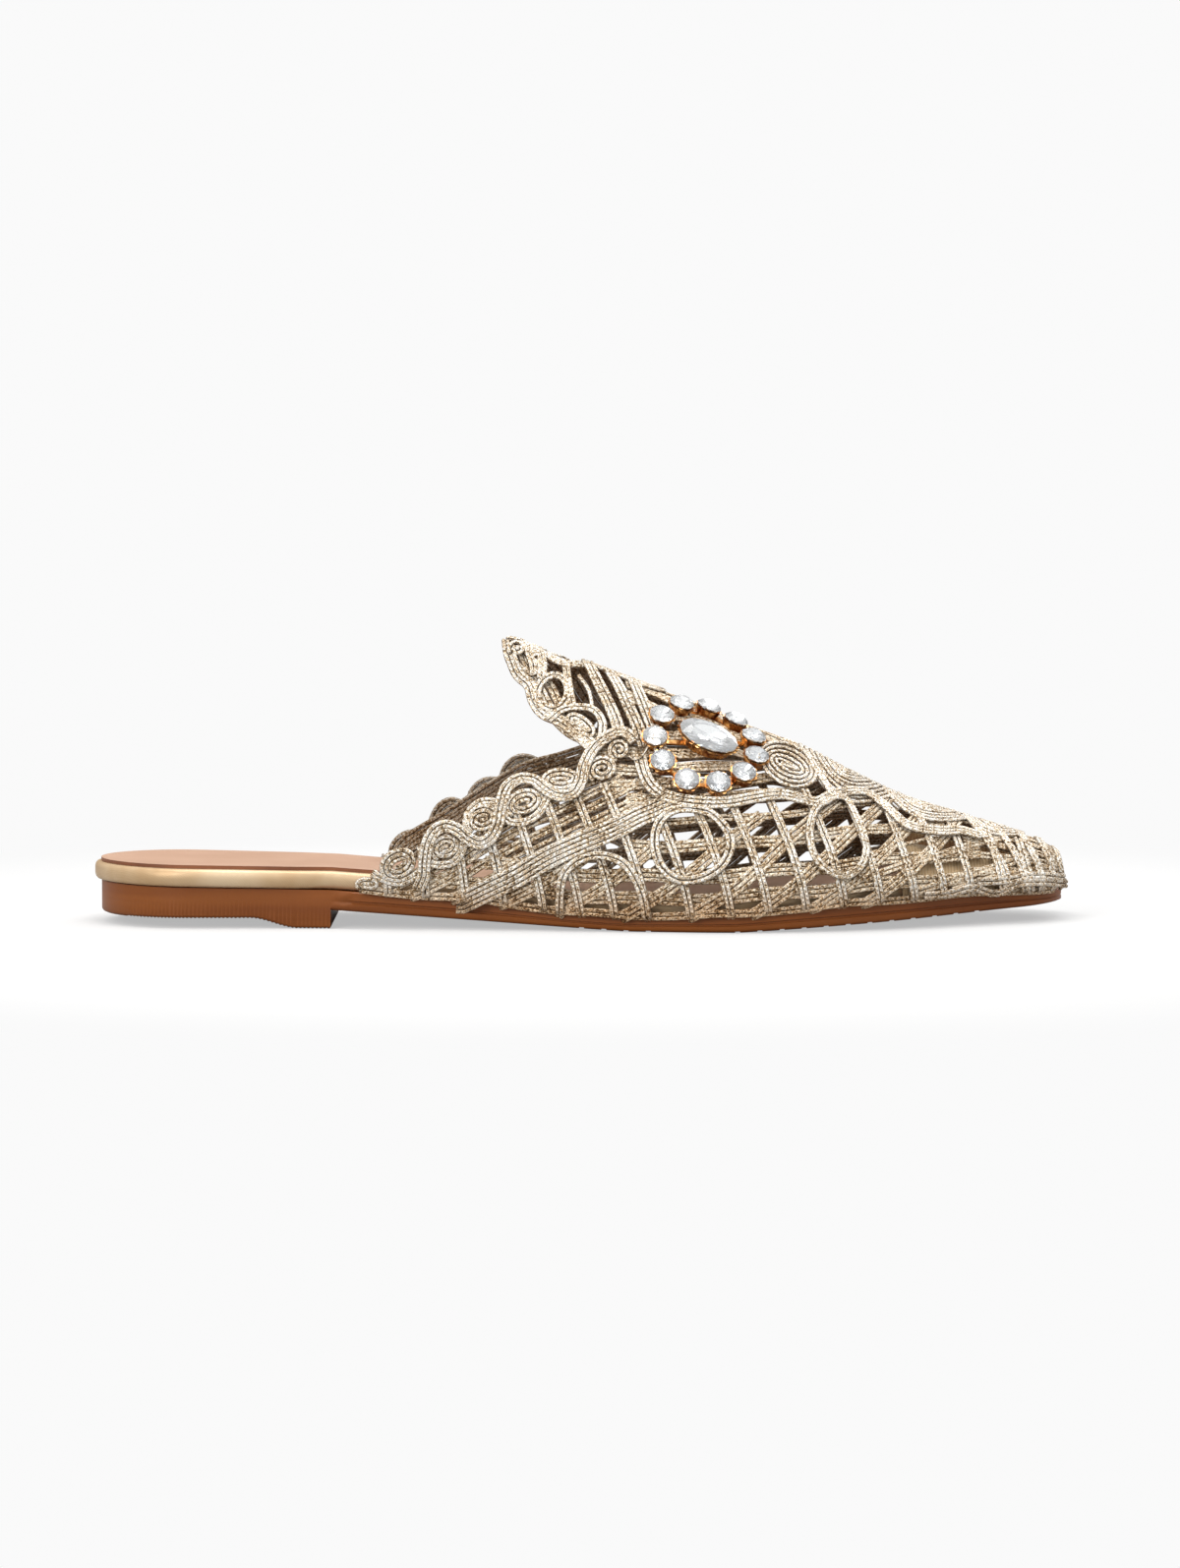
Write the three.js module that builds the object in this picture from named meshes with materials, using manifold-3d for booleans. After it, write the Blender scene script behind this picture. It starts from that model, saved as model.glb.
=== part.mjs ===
// Straw mule: one right shoe, a pointed flat mule with a corded upper and a stone brooch on the vamp.
// Millimetres, +X to the toe, +Y to the inner side of the foot, +Z up.
// The origin is on the floor, under the middle of the flat part of the heel.
import * as THREE from "three";
import { mergeVertices } from "three/addons/utils/BufferGeometryUtils.js";
import Module from "manifold-3d";

const wasm = await Module();
wasm.setup();

// Lengths and widths of the whole shoe
const shoeLength = 268;
const seatWidth = 56;
const waistWidth = 51;
const ballWidth = 76;
const toeWidth = 30;
const heelRound = 27;
const toeRound = 12;

// Heights above the floor
const instepHeight = 70;
const heelHeight = 11.6;
const waistGap = 5.1;
const toeSpring = 5;
const heelSpring = 2.7;

// Sole
const soleThickness = 5.4;
const breastAt = 66;
const heelRiseFrom = 44;
const heelFlatFrom = 57;
const ballFlatFrom = 147;
const ballFlatTo = 176;
const heelInset = 1.8;
const edgeRound = 1.1;
const grooveDrop = 2.4;
const grooveWidth = 0.9;
const grooveDepth = 0.5;
const treadGroove = 1.3;
const treadDepth = 0.7;
const treadPitch = 6;
const treadMargin = 8;
const plainPatch = 18;
const soleStep = 16;
const waistCurve = 1.1;
const toeCurve = 1.05;
const breastCorner = 0.5;

// Footbed: the wrapped board and the sheet on it
const boardThickness = 4.8;
const boardToeThickness = 3.2;
const boardOverhang = 0.2;
const insockThickness = 0.7;
const insockMargin = 2.5;
const boardToeMargin = 1.8;
const boardToeGap = 2.4;
const boardStep = 20;
const boardTuckFrom = 14;
const boardTuckTo = 2;
const boardTaperFrom = 0.7;
const boardThinFrom = 0.6;
const boardLowShare = 0.35;
const boardHighShare = 0.75;
const boardHighDraw = 0.2;
const insockToeGap = 1;

// Upper
const wallThickness = 1.5;
const featherOverhang = 1;
const sideBulge = 1.2;
const rearAt = 69;
const cordWidth = 2.7;
const cordRise = 1;
const braidWidth = 4.6;
const eyeLength = 7;
const eyeHeight = 5.4;
const eyeDrop = 3.6;
const ribLean = 33;
const leanCurve = 1.4;
const leanFadeFrom = 0.96;
const bulgeHigh = 0.45;
const pinchFrom = 0.4;
const pinchFull = 0.9;
const crestLimit = 0.985;
const hollowRear = 8;
const hollowDrop = 4;
const toeCrowding = 1.5;
const gapMargin = 0.55;
const gapDepth = 3.2;
const openingMiddle = 0.07;
const columnStep = 4;

// Brooch: a ring of round stones about a large oval one, each in its own cup
const broochAt = 167.7;
const broochUp = 44.5;
const ringLength = 28;
const ringWidth = 31;
const stoneSize = 7;
const stoneDepth = 1.5;
const stoneCrown = 1.2;
const stoneTable = 0.62;
const girdle = 0.3;
const cupRim = 0.35;
const cupHeight = 2.6;
const centreLength = 17;
const centreWidth = 11.5;
const centreTurn = -24;
const centreCrown = 1.8;
const centreCupHeight = 3.2;
const linkWidth = 1.6;
const linkHeight = 0.5;
const linkLift = 0.4;

// Clearance between pieces that touch
const seat = 0.3;

// Rows of the sole's plan outline: where, as a share of the length,
// and how far the outer and inner edges lie from the axis, as shares of the width named in the row.
const outline = [
  { at: 0, width: seatWidth, outer: 0.49, inner: 0.49 },
  { at: 0.1, width: seatWidth, outer: 0.5, inner: 0.5 },
  { at: 0.24, width: seatWidth, outer: 0.49, inner: 0.43 },
  { at: 0.38, width: waistWidth, outer: 0.57, inner: 0.41 },
  { at: 0.52, width: ballWidth, outer: 0.45, inner: 0.36 },
  { at: 0.64, width: ballWidth, outer: 0.51, inner: 0.47 },
  { at: 0.72, width: ballWidth, outer: 0.48, inner: 0.51 },
  { at: 0.82, width: ballWidth, outer: 0.37, inner: 0.47 },
  { at: 0.92, width: ballWidth, outer: 0.17, inner: 0.36 },
  { at: 1, width: toeWidth, outer: 0.11, inner: 0.73 },
];

// Rows of the sole's thickness in front of the heel, as a share of soleThickness.
const thickness = [
  { at: 0.24, share: 1 },
  { at: 0.37, share: 0.96 },
  { at: 0.44, share: 0.82 },
  { at: 0.5, share: 0.68 },
  { at: 0.57, share: 0.72 },
  { at: 0.65, share: 0.8 },
  { at: 0.71, share: 0.92 },
  { at: 0.82, share: 0.96 },
  { at: 0.92, share: 0.82 },
  { at: 1, share: 0.56 },
];

// Rows of the upper's top line: height as a share of instepHeight, sideways place as a share of
// ballWidth, the fullness of the section's outer and inner halves, where 2 is an ellipse, and
// the share by which its upper part is pinched, as under the tongue.
const crest = [
  { at: 0.24, height: 1.1, lean: 0.05, outer: 2.1, inner: 2.3, pinch: 0 },
  { at: 0.36, height: 1.1, lean: 0.05, outer: 2.1, inner: 2.3, pinch: 0.15 },
  { at: 0.43, height: 1.085, lean: 0.055, outer: 1.9, inner: 2.1, pinch: 0.5 },
  { at: 0.465, height: 1.03, lean: 0.06, outer: 1.85, inner: 2, pinch: 0.36 },
  { at: 0.507, height: 0.99, lean: 0.07, outer: 1.8, inner: 1.95, pinch: 0.16 },
  { at: 0.563, height: 0.91, lean: 0.08, outer: 1.75, inner: 1.9, pinch: 0.04 },
  { at: 0.616, height: 0.84, lean: 0.085, outer: 1.75, inner: 1.9, pinch: 0 },
  { at: 0.66, height: 0.765, lean: 0.09, outer: 1.8, inner: 1.9, pinch: 0 },
  { at: 0.718, height: 0.68, lean: 0.095, outer: 1.85, inner: 1.95, pinch: 0 },
  { at: 0.775, height: 0.567, lean: 0.1, outer: 1.95, inner: 2, pinch: 0 },
  { at: 0.832, height: 0.463, lean: 0.105, outer: 2.1, inner: 2.1, pinch: 0 },
  { at: 0.888, height: 0.395, lean: 0.11, outer: 2.2, inner: 2.2, pinch: 0 },
  { at: 0.944, height: 0.33, lean: 0.118, outer: 2.4, inner: 2.4, pinch: 0 },
  { at: 0.98, height: 0.28, lean: 0.122, outer: 2.6, inner: 2.6, pinch: 0 },
  { at: 1, height: 0.215, lean: 0.122, outer: 2.8, inner: 2.8, pinch: 0 },
];

// Rows of the collar edge from the rear to the throat: heights as shares of instepHeight.
const collar = [
  { at: 0.25, outer: 0.13, inner: 0.15 },
  { at: 0.27, outer: 0.19, inner: 0.21 },
  { at: 0.3, outer: 0.26, inner: 0.3 },
  { at: 0.36, outer: 0.37, inner: 0.44 },
  { at: 0.4, outer: 0.47, inner: 0.54 },
  { at: 0.44, outer: 0.555, inner: 0.63 },
  { at: 0.48, outer: 0.63, inner: 0.675 },
  { at: 0.517, outer: 0.7, inner: 0.72 },
];

// Rows of the tongue's free edge from the throat to its tip, heights as shares of instepHeight.
const tongueEdge = [
  { at: 0.5, outer: 0.715, inner: 0.735 },
  { at: 0.482, outer: 0.745, inner: 0.765 },
  { at: 0.466, outer: 0.8, inner: 0.815 },
  { at: 0.454, outer: 0.865, inner: 0.875 },
  { at: 0.444, outer: 0.935, inner: 0.94 },
  { at: 0.427, outer: 0.985, inner: 0.985 },
  { at: 0.418, outer: 1.035, inner: 1.035 },
];

// Where the ribs stand on the feather edge, and how high they reach, as a share of instepHeight.
const ribs = [
  { at: 0.305, top: 0.07 },
  { at: 0.343, top: 0.15 },
  { at: 0.384, top: 0.24 },
  { at: 0.422, top: 0.31 },
  { at: 0.462, top: 0.36 },
  { at: 0.5, top: 0.42 },
  { at: 0.534, top: 0.47 },
  { at: 0.567, top: 0.45 },
  { at: 0.61, top: 0.4 },
  { at: 0.65, top: 0.38 },
  { at: 0.687, top: 0.38 },
  { at: 0.725, top: 0.38 },
  { at: 0.763, top: 0.37 },
  { at: 0.8, top: 0.35 },
  { at: 0.835, top: 0.3 },
  { at: 0.866, top: 0.26 },
  { at: 0.894, top: 0.23 },
  { at: 0.928, top: 0.19 },
  { at: 0.958, top: 0.16 },
];

// Rows of gaps between the bands: heights above the feather edge as shares of instepHeight, and
// the share of the length where the row's first gap may be.
const gapRows = [
  { from: 0.062, to: 0.135, first: 0.38 },
  { from: 0.18, to: 0.265, first: 0.42 },
  { from: 0.31, to: 0.385, first: 0.42 },
];

// Smooth value of one column of a table at a share of the length.
function readTable(table, column, share) {
  const last = table.length - 1;
  if (share <= table[0].at) return table[0][column];
  if (share >= table[last].at) return table[last][column];
  let row = 0;
  while (share > table[row + 1].at) row += 1;
  const slope = (index) => {
    const before = table[Math.max(index - 1, 0)];
    const after = table[Math.min(index + 1, last)];
    return (after[column] - before[column]) / (after.at - before.at);
  };
  const start = table[row];
  const end = table[row + 1];
  const span = end.at - start.at;
  const t = (share - start.at) / span;
  return (
    start[column] * (2 * t ** 3 - 3 * t ** 2 + 1) +
    slope(row) * span * (t ** 3 - 2 * t ** 2 + t) +
    end[column] * (3 * t ** 2 - 2 * t ** 3) +
    slope(row + 1) * span * (t ** 3 - t ** 2)
  );
}

// Rises smoothly from 0 to 1 between two places.
function blend(from, to, x) {
  const t = Math.min(1, Math.max(0, (x - from) / (to - from)));
  return t * t * (3 - 2 * t);
}

// Plan outline: the sideways place of an edge at x, drawn in by an inset,
// rounded off at both ends, where toeFactor keeps the tip a little blunt.
const outlineEdges = outline.map((row) => ({
  at: row.at,
  outer: -row.outer * row.width,
  inner: row.inner * row.width,
}));

function endFactor(x, toeEnd, bluntness) {
  const heel = Math.min(1, Math.max(0, x / heelRound));
  const toe = Math.min(1, Math.max(0, (x - toeEnd + toeRound) / toeRound));
  return Math.sqrt(1 - (1 - heel) ** 2) * Math.sqrt(1 - bluntness * toe ** 2);
}

function planEdges(x, inset, toeEnd = shoeLength, bluntness = 1) {
  const outer = readTable(outlineEdges, "outer", x / shoeLength);
  const inner = readTable(outlineEdges, "inner", x / shoeLength);
  const middle = (outer + inner) / 2;
  const factor = endFactor(x, toeEnd, bluntness);
  return {
    outer: middle + (outer + inset - middle) * factor,
    inner: middle + (inner - inset - middle) * factor,
  };
}

// Heights of the sole's underside and top along the shoe.
function soleUnderside(x) {
  if (x < breastAt) return heelSpring * (1 - blend(heelRiseFrom, heelFlatFrom, x));
  if (x < ballFlatFrom) return waistGap * ((ballFlatFrom - x) / (ballFlatFrom - breastAt)) ** waistCurve;
  if (x <= ballFlatTo) return 0;
  return toeSpring * ((x - ballFlatTo) / (shoeLength - ballFlatTo)) ** toeCurve;
}

function soleTop(x) {
  const breastTop = waistGap + soleThickness;
  if (x < breastAt) return heelHeight + (breastTop - heelHeight) * (x / breastAt);
  return soleUnderside(x) + soleThickness * readTable(thickness, "share", x / shoeLength);
}

// Places along the shoe for the sole's pieces: close together at the round ends,
// and one on each side of every corner of the underside.
function placesAlong(end, step) {
  const places = [0];
  const turns = 5;
  for (let turn = 1; turn <= turns; turn += 1) {
    const angle = (turn / turns) * (Math.PI / 2);
    places.push(heelRound * (1 - Math.cos(angle)));
    places.push(end - toeRound * (1 - Math.cos(angle)));
  }
  places.push(end, heelRiseFrom, heelFlatFrom, ballFlatFrom, ballFlatTo);
  places.push(breastAt - breastCorner, breastAt + breastCorner);
  const middle = end - toeRound - heelRound;
  const count = Math.round(middle / step);
  for (let index = 1; index < count; index += 1) places.push(heelRound + (middle * index) / count);
  const sorted = places.filter((x) => x <= end).sort((a, b) => a - b);
  return sorted.filter((x, index) => index === 0 || x - sorted[index - 1] > 0.9);
}

// A three.js geometry as a solid: positions merged, flattened triangles dropped.
function solidOf(geometry) {
  const bare = geometry.clone();
  bare.deleteAttribute("normal");
  bare.deleteAttribute("uv");
  const merged = mergeVertices(bare, 1e-3);
  const index = merged.index.array;
  const kept = [];
  for (let i = 0; i < index.length; i += 3) {
    const [a, b, c] = [index[i], index[i + 1], index[i + 2]];
    if (a !== b && b !== c && c !== a) kept.push(a, b, c);
  }
  const mesh = new wasm.Mesh({
    numProp: 3,
    vertProperties: new Float32Array(merged.attributes.position.array),
    triVerts: new Uint32Array(kept),
  });
  const solid = new wasm.Manifold(mesh);
  if (solid.volume() > 0) return solid;
  for (let i = 0; i < kept.length; i += 3) [kept[i], kept[i + 1]] = [kept[i + 1], kept[i]];
  mesh.triVerts = new Uint32Array(kept);
  return new wasm.Manifold(mesh);
}

function geometryOf(solid) {
  const mesh = solid.getMesh();
  const geometry = new THREE.BufferGeometry();
  geometry.setAttribute("position", new THREE.BufferAttribute(mesh.vertProperties, 3));
  geometry.setIndex(new THREE.BufferAttribute(mesh.triVerts, 1));
  return geometry;
}

// Moves every corner of a geometry by a function of its place.
function reshape(geometry, rule) {
  const place = geometry.attributes.position;
  for (let i = 0; i < place.count; i += 1) {
    const to = rule(place.getX(i), place.getY(i), place.getZ(i));
    place.setXYZ(i, to[0], to[1], to[2]);
  }
  return geometry;
}

// A flat layer of the shoe's plan: a box whose corners are moved to the outline,
// one level for each pair of an inset and a height, from the lowest to the highest.
function layer(places, levels, end) {
  const along = places.length - 1;
  const upward = levels.length - 1;
  const box = new THREE.BoxGeometry(1, 1, 1, along, 1, upward);
  return reshape(box, (a, b, c) => {
    const x = places[Math.round((a + 0.5) * along)];
    const level = levels[Math.round((c + 0.5) * upward)];
    const inset = level.inset(x);
    const edges = planEdges(x, inset, end);
    const heelward = Math.max(0, 1 - (2 * x) / end);
    const toeward = Math.max(0, (2 * x) / end - 1);
    const drawnIn = Math.max(0, inset - levels[upward].inset(x));
    const drawn = x + (drawnIn + levels[upward].inset(0)) * heelward - drawnIn * toeward;
    return [drawn, b < 0 ? edges.outer : edges.inner, level.height(x)];
  });
}

// Outsole with its heel, the groove round its side and the grooves of its tread
function outsoleInset(x) {
  return heelInset * (1 - blend(heelRiseFrom, breastAt + treadMargin, x));
}

function makeOutsole() {
  const step = (x) => Math.min(1, (soleTop(x) - soleUnderside(x)) / soleThickness);
  const levels = [
    { inset: (x) => outsoleInset(x) + edgeRound, height: soleUnderside },
    { inset: outsoleInset, height: (x) => soleTop(x) - (grooveDrop + grooveWidth) * step(x) },
    {
      inset: (x) => outsoleInset(x) + grooveDepth,
      height: (x) => soleTop(x) - (grooveDrop + grooveWidth / 2) * step(x),
    },
    { inset: outsoleInset, height: (x) => soleTop(x) - grooveDrop * step(x) },
    { inset: outsoleInset, height: soleTop },
  ];
  const end = shoeLength - featherOverhang;
  let solid = solidOf(layer(placesAlong(end, soleStep), levels, end));
  const patches = [(heelFlatFrom + breastAt) / 2, (ballFlatFrom + ballFlatTo) / 2];
  for (let x = treadMargin; x < shoeLength - 3 * treadMargin; x += treadPitch) {
    const inWaist = x > breastAt - treadGroove * 2 && x < ballFlatFrom - 2 * treadMargin;
    const inPatch = patches.some((patch) => Math.abs(x - patch) < plainPatch / 2);
    if (inWaist || inPatch) continue;
    const floor = Math.max(soleUnderside(x - treadGroove / 2), soleUnderside(x + treadGroove / 2));
    const cut = new THREE.BoxGeometry(treadGroove, ballWidth * 2, 2 * treadDepth);
    cut.translate(x, 0, floor);
    solid = solid.subtract(solidOf(cut));
  }
  return solid;
}

// Footbed board: at the heel it overhangs the sole, under the upper it stands inside the wall.
const boardInside = wallThickness - featherOverhang + seat * 2;

function boardInset(x) {
  const insideWall = blend(rearAt - boardTuckFrom, rearAt - boardTuckTo, x);
  const toeward = blend(boardTaperFrom * shoeLength, shoeLength, x);
  return -boardOverhang * (1 - insideWall) + boardInside * insideWall + boardToeMargin * toeward;
}

function boardHeight(x) {
  const toeward = blend(boardThinFrom * shoeLength, shoeLength, x);
  return boardThickness + (boardToeThickness - boardThickness) * toeward;
}

const boardEnd = shoeLength - featherOverhang - wallThickness - boardToeGap;

function makeBoard() {
  const foot = (x) => soleTop(x) + seat;
  const levels = [
    { inset: (x) => boardInset(x) + edgeRound, height: foot },
    { inset: boardInset, height: (x) => foot(x) + boardHeight(x) * boardLowShare },
    {
      inset: (x) => boardInset(x) + edgeRound * boardHighDraw,
      height: (x) => foot(x) + boardHeight(x) * boardHighShare,
    },
    { inset: (x) => boardInset(x) + edgeRound, height: (x) => foot(x) + boardHeight(x) },
  ];
  return solidOf(layer(placesAlong(boardEnd, boardStep), levels, boardEnd));
}

function makeInsock() {
  const inset = (x) => boardInset(x) + insockMargin;
  const foot = (x) => soleTop(x) + seat + boardHeight(x) + seat;
  const levels = [
    { inset, height: foot },
    { inset, height: (x) => foot(x) + insockThickness },
  ];
  const end = boardEnd - insockToeGap;
  return solidOf(layer(placesAlong(end, boardStep), levels, end));
}

// The last's surface. A point is given by x, by the turn from the feather edge (0) to the crest
// (a quarter turn), by the side (-1 outer, 1 inner) and by how far inside the outer face it lies.
const toeBlunt = 0.97;

function section(x, side, inset) {
  const share = x / shoeLength;
  const edges = planEdges(x, inset - featherOverhang, shoeLength - inset, toeBlunt);
  const foot = soleTop(Math.min(x, shoeLength)) + seat;
  return {
    foot,
    edge: side < 0 ? edges.outer : edges.inner,
    top: readTable(crest, "height", share) * instepHeight - inset,
    middle: readTable(crest, "lean", share) * ballWidth,
    power: 2 / readTable(crest, side < 0 ? "outer" : "inner", share),
    pinch: readTable(crest, "pinch", share),
    factor: endFactor(x, shoeLength - inset, toeBlunt),
  };
}

function surfacePoint(x, side, turn, inset = 0) {
  const cut = section(x, side, inset);
  const rise = Math.sin(turn) ** cut.power;
  const reach = Math.cos(turn) ** cut.power * (1 - cut.pinch * blend(pinchFrom, pinchFull, rise));
  const swell = sideBulge * cut.factor * Math.sin(Math.PI * Math.min(1, rise / bulgeHigh));
  const y = cut.middle + (cut.edge - cut.middle) * reach + side * swell;
  return [x, y, cut.foot + (cut.top - cut.foot) * rise];
}

// The half-pipe inside a face of the upper, closed underneath and at both ends.
function lastSolid(inset, rear, drop) {
  const lengthSteps = 14;
  const girthSteps = 12;
  const box = new THREE.BoxGeometry(1, 1, 1, lengthSteps, girthSteps, 1);
  const end = shoeLength - inset;
  return solidOf(
    reshape(box, (a, b, c) => {
      const x = end - (end - rear) * (0.5 - a) ** toeCrowding;
      const side = b < 0 ? -1 : 1;
      const turn = ((1 - Math.abs(b) * 2) * Math.PI) / 2;
      if (c > 0 && Math.abs(b) < 0.499) return surfacePoint(x, side, turn, inset);
      const outer = section(x, -1, inset);
      const inner = section(x, 1, inset);
      return [x, outer.edge + (inner.edge - outer.edge) * (b + 0.5), outer.foot - drop];
    }),
  );
}

// A point of the upper from the side: x, height above the feather edge, and height off the face.
function onUpper(x, up, off, side) {
  const cut = section(x, side, 0);
  const share = Math.min(crestLimit, Math.max(0, up / (cut.top - cut.foot)));
  const turn = Math.asin(share ** (1 / cut.power));
  const here = new THREE.Vector3(...surfacePoint(x, side, turn));
  const small = 0.02;
  const forward = new THREE.Vector3(...surfacePoint(x - 1, side, turn)).sub(here).negate();
  const above = new THREE.Vector3(...surfacePoint(x, side, Math.min(turn + small, Math.PI / 2 - 1e-3)));
  const below = new THREE.Vector3(...surfacePoint(x, side, Math.max(turn - small, 1e-3)));
  const normal = forward.cross(above.sub(below)).multiplyScalar(-side).normalize();
  if (up < 0) here.z += up;
  return here.addScaledVector(normal, off).toArray();
}

// Where the opening lies, seen from one side: above the collar, behind the throat and the tongue.
function openingCutter(side) {
  const column = side < 0 ? "outer" : "inner";
  const points = [];
  const tip = tongueEdge[tongueEdge.length - 1].at * shoeLength;
  points.push([tip - 1, 1.5 * instepHeight]);
  points.push([tip - 1, 1.1 * instepHeight]);
  for (const row of [...tongueEdge].reverse()) points.push([row.at * shoeLength, row[column] * instepHeight]);
  for (const row of [...collar].reverse()) points.push([row.at * shoeLength, row[column] * instepHeight]);
  points.push([rearAt - 2, 0.1 * instepHeight]);
  points.push([rearAt - 2, -instepHeight]);
  points.push([-instepHeight, -instepHeight]);
  points.push([-instepHeight, 1.5 * instepHeight]);
  const shape = new THREE.Shape(points.map(([x, z]) => new THREE.Vector2(x, z)));
  const cutter = new THREE.ExtrudeGeometry(shape, { depth: ballWidth, bevelEnabled: false });
  const middle = openingMiddle * ballWidth;
  return solidOf(
    reshape(cutter, (x, z, depth) => [x, middle - side * 0.01 + side * depth, z]),
  );
}

// One gap of the lattice between two ribs and two bands.
function gapCutter(row, rib, nextRib, side) {
  const cut = new THREE.BoxGeometry(1, 1, 1);
  const half = cordWidth * gapMargin;
  return solidOf(
    reshape(cut, (a, b, c) => {
      const up = (b < 0 ? row.from : row.to) * instepHeight;
      const x = a < 0 ? ribAt(rib, up) + half : ribAt(nextRib, up) - half;
      return onUpper(x, up, c < 0 ? -gapDepth : gapDepth, side);
    }),
  );
}

// Where the line that stands on the feather edge at "foot" passes at a height: the ribs lean back,
// less and less towards both ends of the upper.
function leaningLine(foot, up) {
  const toeward = blend(leanFadeFrom * shoeLength, shoeLength, foot);
  const fade = blend(rearAt - columnStep, shoeLength / 2, foot) * (1 - toeward);
  return foot - ribLean * fade * Math.max(0, up / instepHeight) ** leanCurve;
}

function ribAt(rib, up) {
  return leaningLine(rib.at * shoeLength, up);
}

// Raised cord strips. A route is given by places along the shoe and heights above the feather
// edge, both in millimetres, and the strip keeps a flat diamond section all along it.
function strip(route, width, steps, side) {
  const path = new THREE.CatmullRomCurve3(route.map(([x, up]) => new THREE.Vector3(x, up, 0)));
  const profile = new THREE.Shape([
    new THREE.Vector2(cordRise, 0),
    new THREE.Vector2(0, width / 2),
    new THREE.Vector2(-cordRise, 0),
    new THREE.Vector2(0, -width / 2),
  ]);
  const tube = new THREE.ExtrudeGeometry(profile, { steps, extrudePath: path });
  return solidOf(reshape(tube, (x, up, off) => onUpper(x, up, off, side)));
}

function ringStrip({ at, up, ...half }, side) {
  const halfLength = half.halfLength * instepHeight;
  const halfHeight = half.halfHeight * instepHeight;
  const thick = cordWidth / 2 / halfLength;
  const ring = new THREE.TorusGeometry(1, thick, 4, 9);
  return solidOf(
    reshape(ring, (a, b, c) => {
      const x = at * shoeLength + a * halfLength;
      return onUpper(x, up * instepHeight + b * halfHeight, (c / thick) * cordRise, side);
    }),
  );
}

function eyeDisc(x, up, side) {
  const disc = new THREE.CylinderGeometry(1, 1, 2 * cordRise, 6);
  return solidOf(
    reshape(disc, (a, off, b) => onUpper(x + (a * eyeLength) / 2, up + (b * eyeHeight) / 2, off, side)),
  );
}

// Height of the collar edge above the feather edge
function collarUp(x, side) {
  const column = side < 0 ? "outer" : "inner";
  return readTable(collar, column, x / shoeLength) * instepHeight - section(x, side, 0).foot;
}

// Routes of the long strips: shares of shoeLength and of instepHeight above the feather edge.
const braidRoute = [
  { at: 0.386, up: 0.022 },
  { at: 0.406, up: 0.061 },
  { at: 0.452, up: 0.18 },
  { at: 0.499, up: 0.263 },
  { at: 0.545, up: 0.336 },
  { at: 0.587, up: 0.396 },
];
const vampRoute = [
  { at: 0.566, up: 0.5 },
  { at: 0.596, up: 0.421 },
  { at: 0.641, up: 0.4 },
  { at: 0.686, up: 0.411 },
  { at: 0.724, up: 0.371 },
  { at: 0.765, up: 0.38 },
  { at: 0.806, up: 0.34 },
  { at: 0.849, up: 0.275 },
  { at: 0.882, up: 0.237 },
];

// Raised rings on the side: middle as shares of shoeLength and instepHeight, half sizes of instepHeight.
const rings = [
  { at: 0.61, up: 0.254, halfLength: 0.15, halfHeight: 0.15 },
  { at: 0.757, up: 0.253, halfLength: 0.12, halfHeight: 0.157 },
];
const eyes = [0.319, 0.361, 0.4, 0.442, 0.481];
const throatEyes = [
  { at: 0.524, up: 0.51 },
  { at: 0.545, up: 0.6 },
];

function routeOf(rows) {
  return rows.map((row) => [row.at * shoeLength, row.up * instepHeight]);
}

function chainRoute(side) {
  const places = eyes.map((at) => [at * shoeLength, collarUp(at * shoeLength, side) - eyeDrop]);
  for (const eye of throatEyes) places.push([eye.at * shoeLength, eye.up * instepHeight]);
  const route = [[places[0][0] - eyeLength, cordWidth]];
  places.forEach(([x, up], index) => {
    const over = index % 2 === 0 ? -1 : 1;
    const sway = eyeHeight / 2 + cordWidth * 0.35;
    route.push([x - over * sway * 0.4, up + over * sway]);
    const next = places[index + 1];
    if (next) route.push([(x + next[0]) / 2, (up + next[1]) / 2]);
  });
  return { places, route };
}

function latticeStrips(side) {
  const chain = chainRoute(side);
  const strips = [
    strip(routeOf(braidRoute), braidWidth, 4, side),
    strip(routeOf(vampRoute), cordWidth, 8, side),
    strip(chain.route, cordWidth, 14, side),
    ...rings.map((ring) => ringStrip(ring, side)),
    ...chain.places.slice(0, eyes.length).map(([x, up]) => eyeDisc(x, up, side)),
  ];
  return strips;
}

// Rows of the upper's outer face: heights above the feather edge as shares of instepHeight,
// and how much of cordRise a band there stands out.
const faceRows = [
  { up: 0, raise: 0 },
  { up: 0.02, raise: 1 },
  { up: 0.04, raise: 0 },
  { up: 0.157, raise: 0.4 },
  { up: 0.288, raise: 0.4 },
  { up: 0.4, raise: 0 },
];
const crestShares = [1 / 3, 2 / 3, 1];

// Columns that close the toe, as shares of toeRound back from the tip
const toeColumns = [0.75, 0.5, 0.28, 0.11, 0];

// Behind this share of the length the ribs are covered by the braid and stay level with the wall.
const ridgesFrom = 0.5;

// Columns of the outer face: three to a rib, the middle one raised, and some to close the toe.
function faceColumns() {
  const columns = [{ foot: rearAt - columnStep }, { foot: rearAt + columnStep }];
  for (const rib of ribs) {
    const foot = rib.at * shoeLength;
    if (rib.at < ridgesFrom) columns.push({ foot });
    else columns.push({ foot: foot - cordWidth / 2 }, { foot, rib }, { foot: foot + cordWidth / 2 });
  }
  for (const back of toeColumns) columns.push({ foot: shoeLength - toeRound * back });
  return columns;
}

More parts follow.
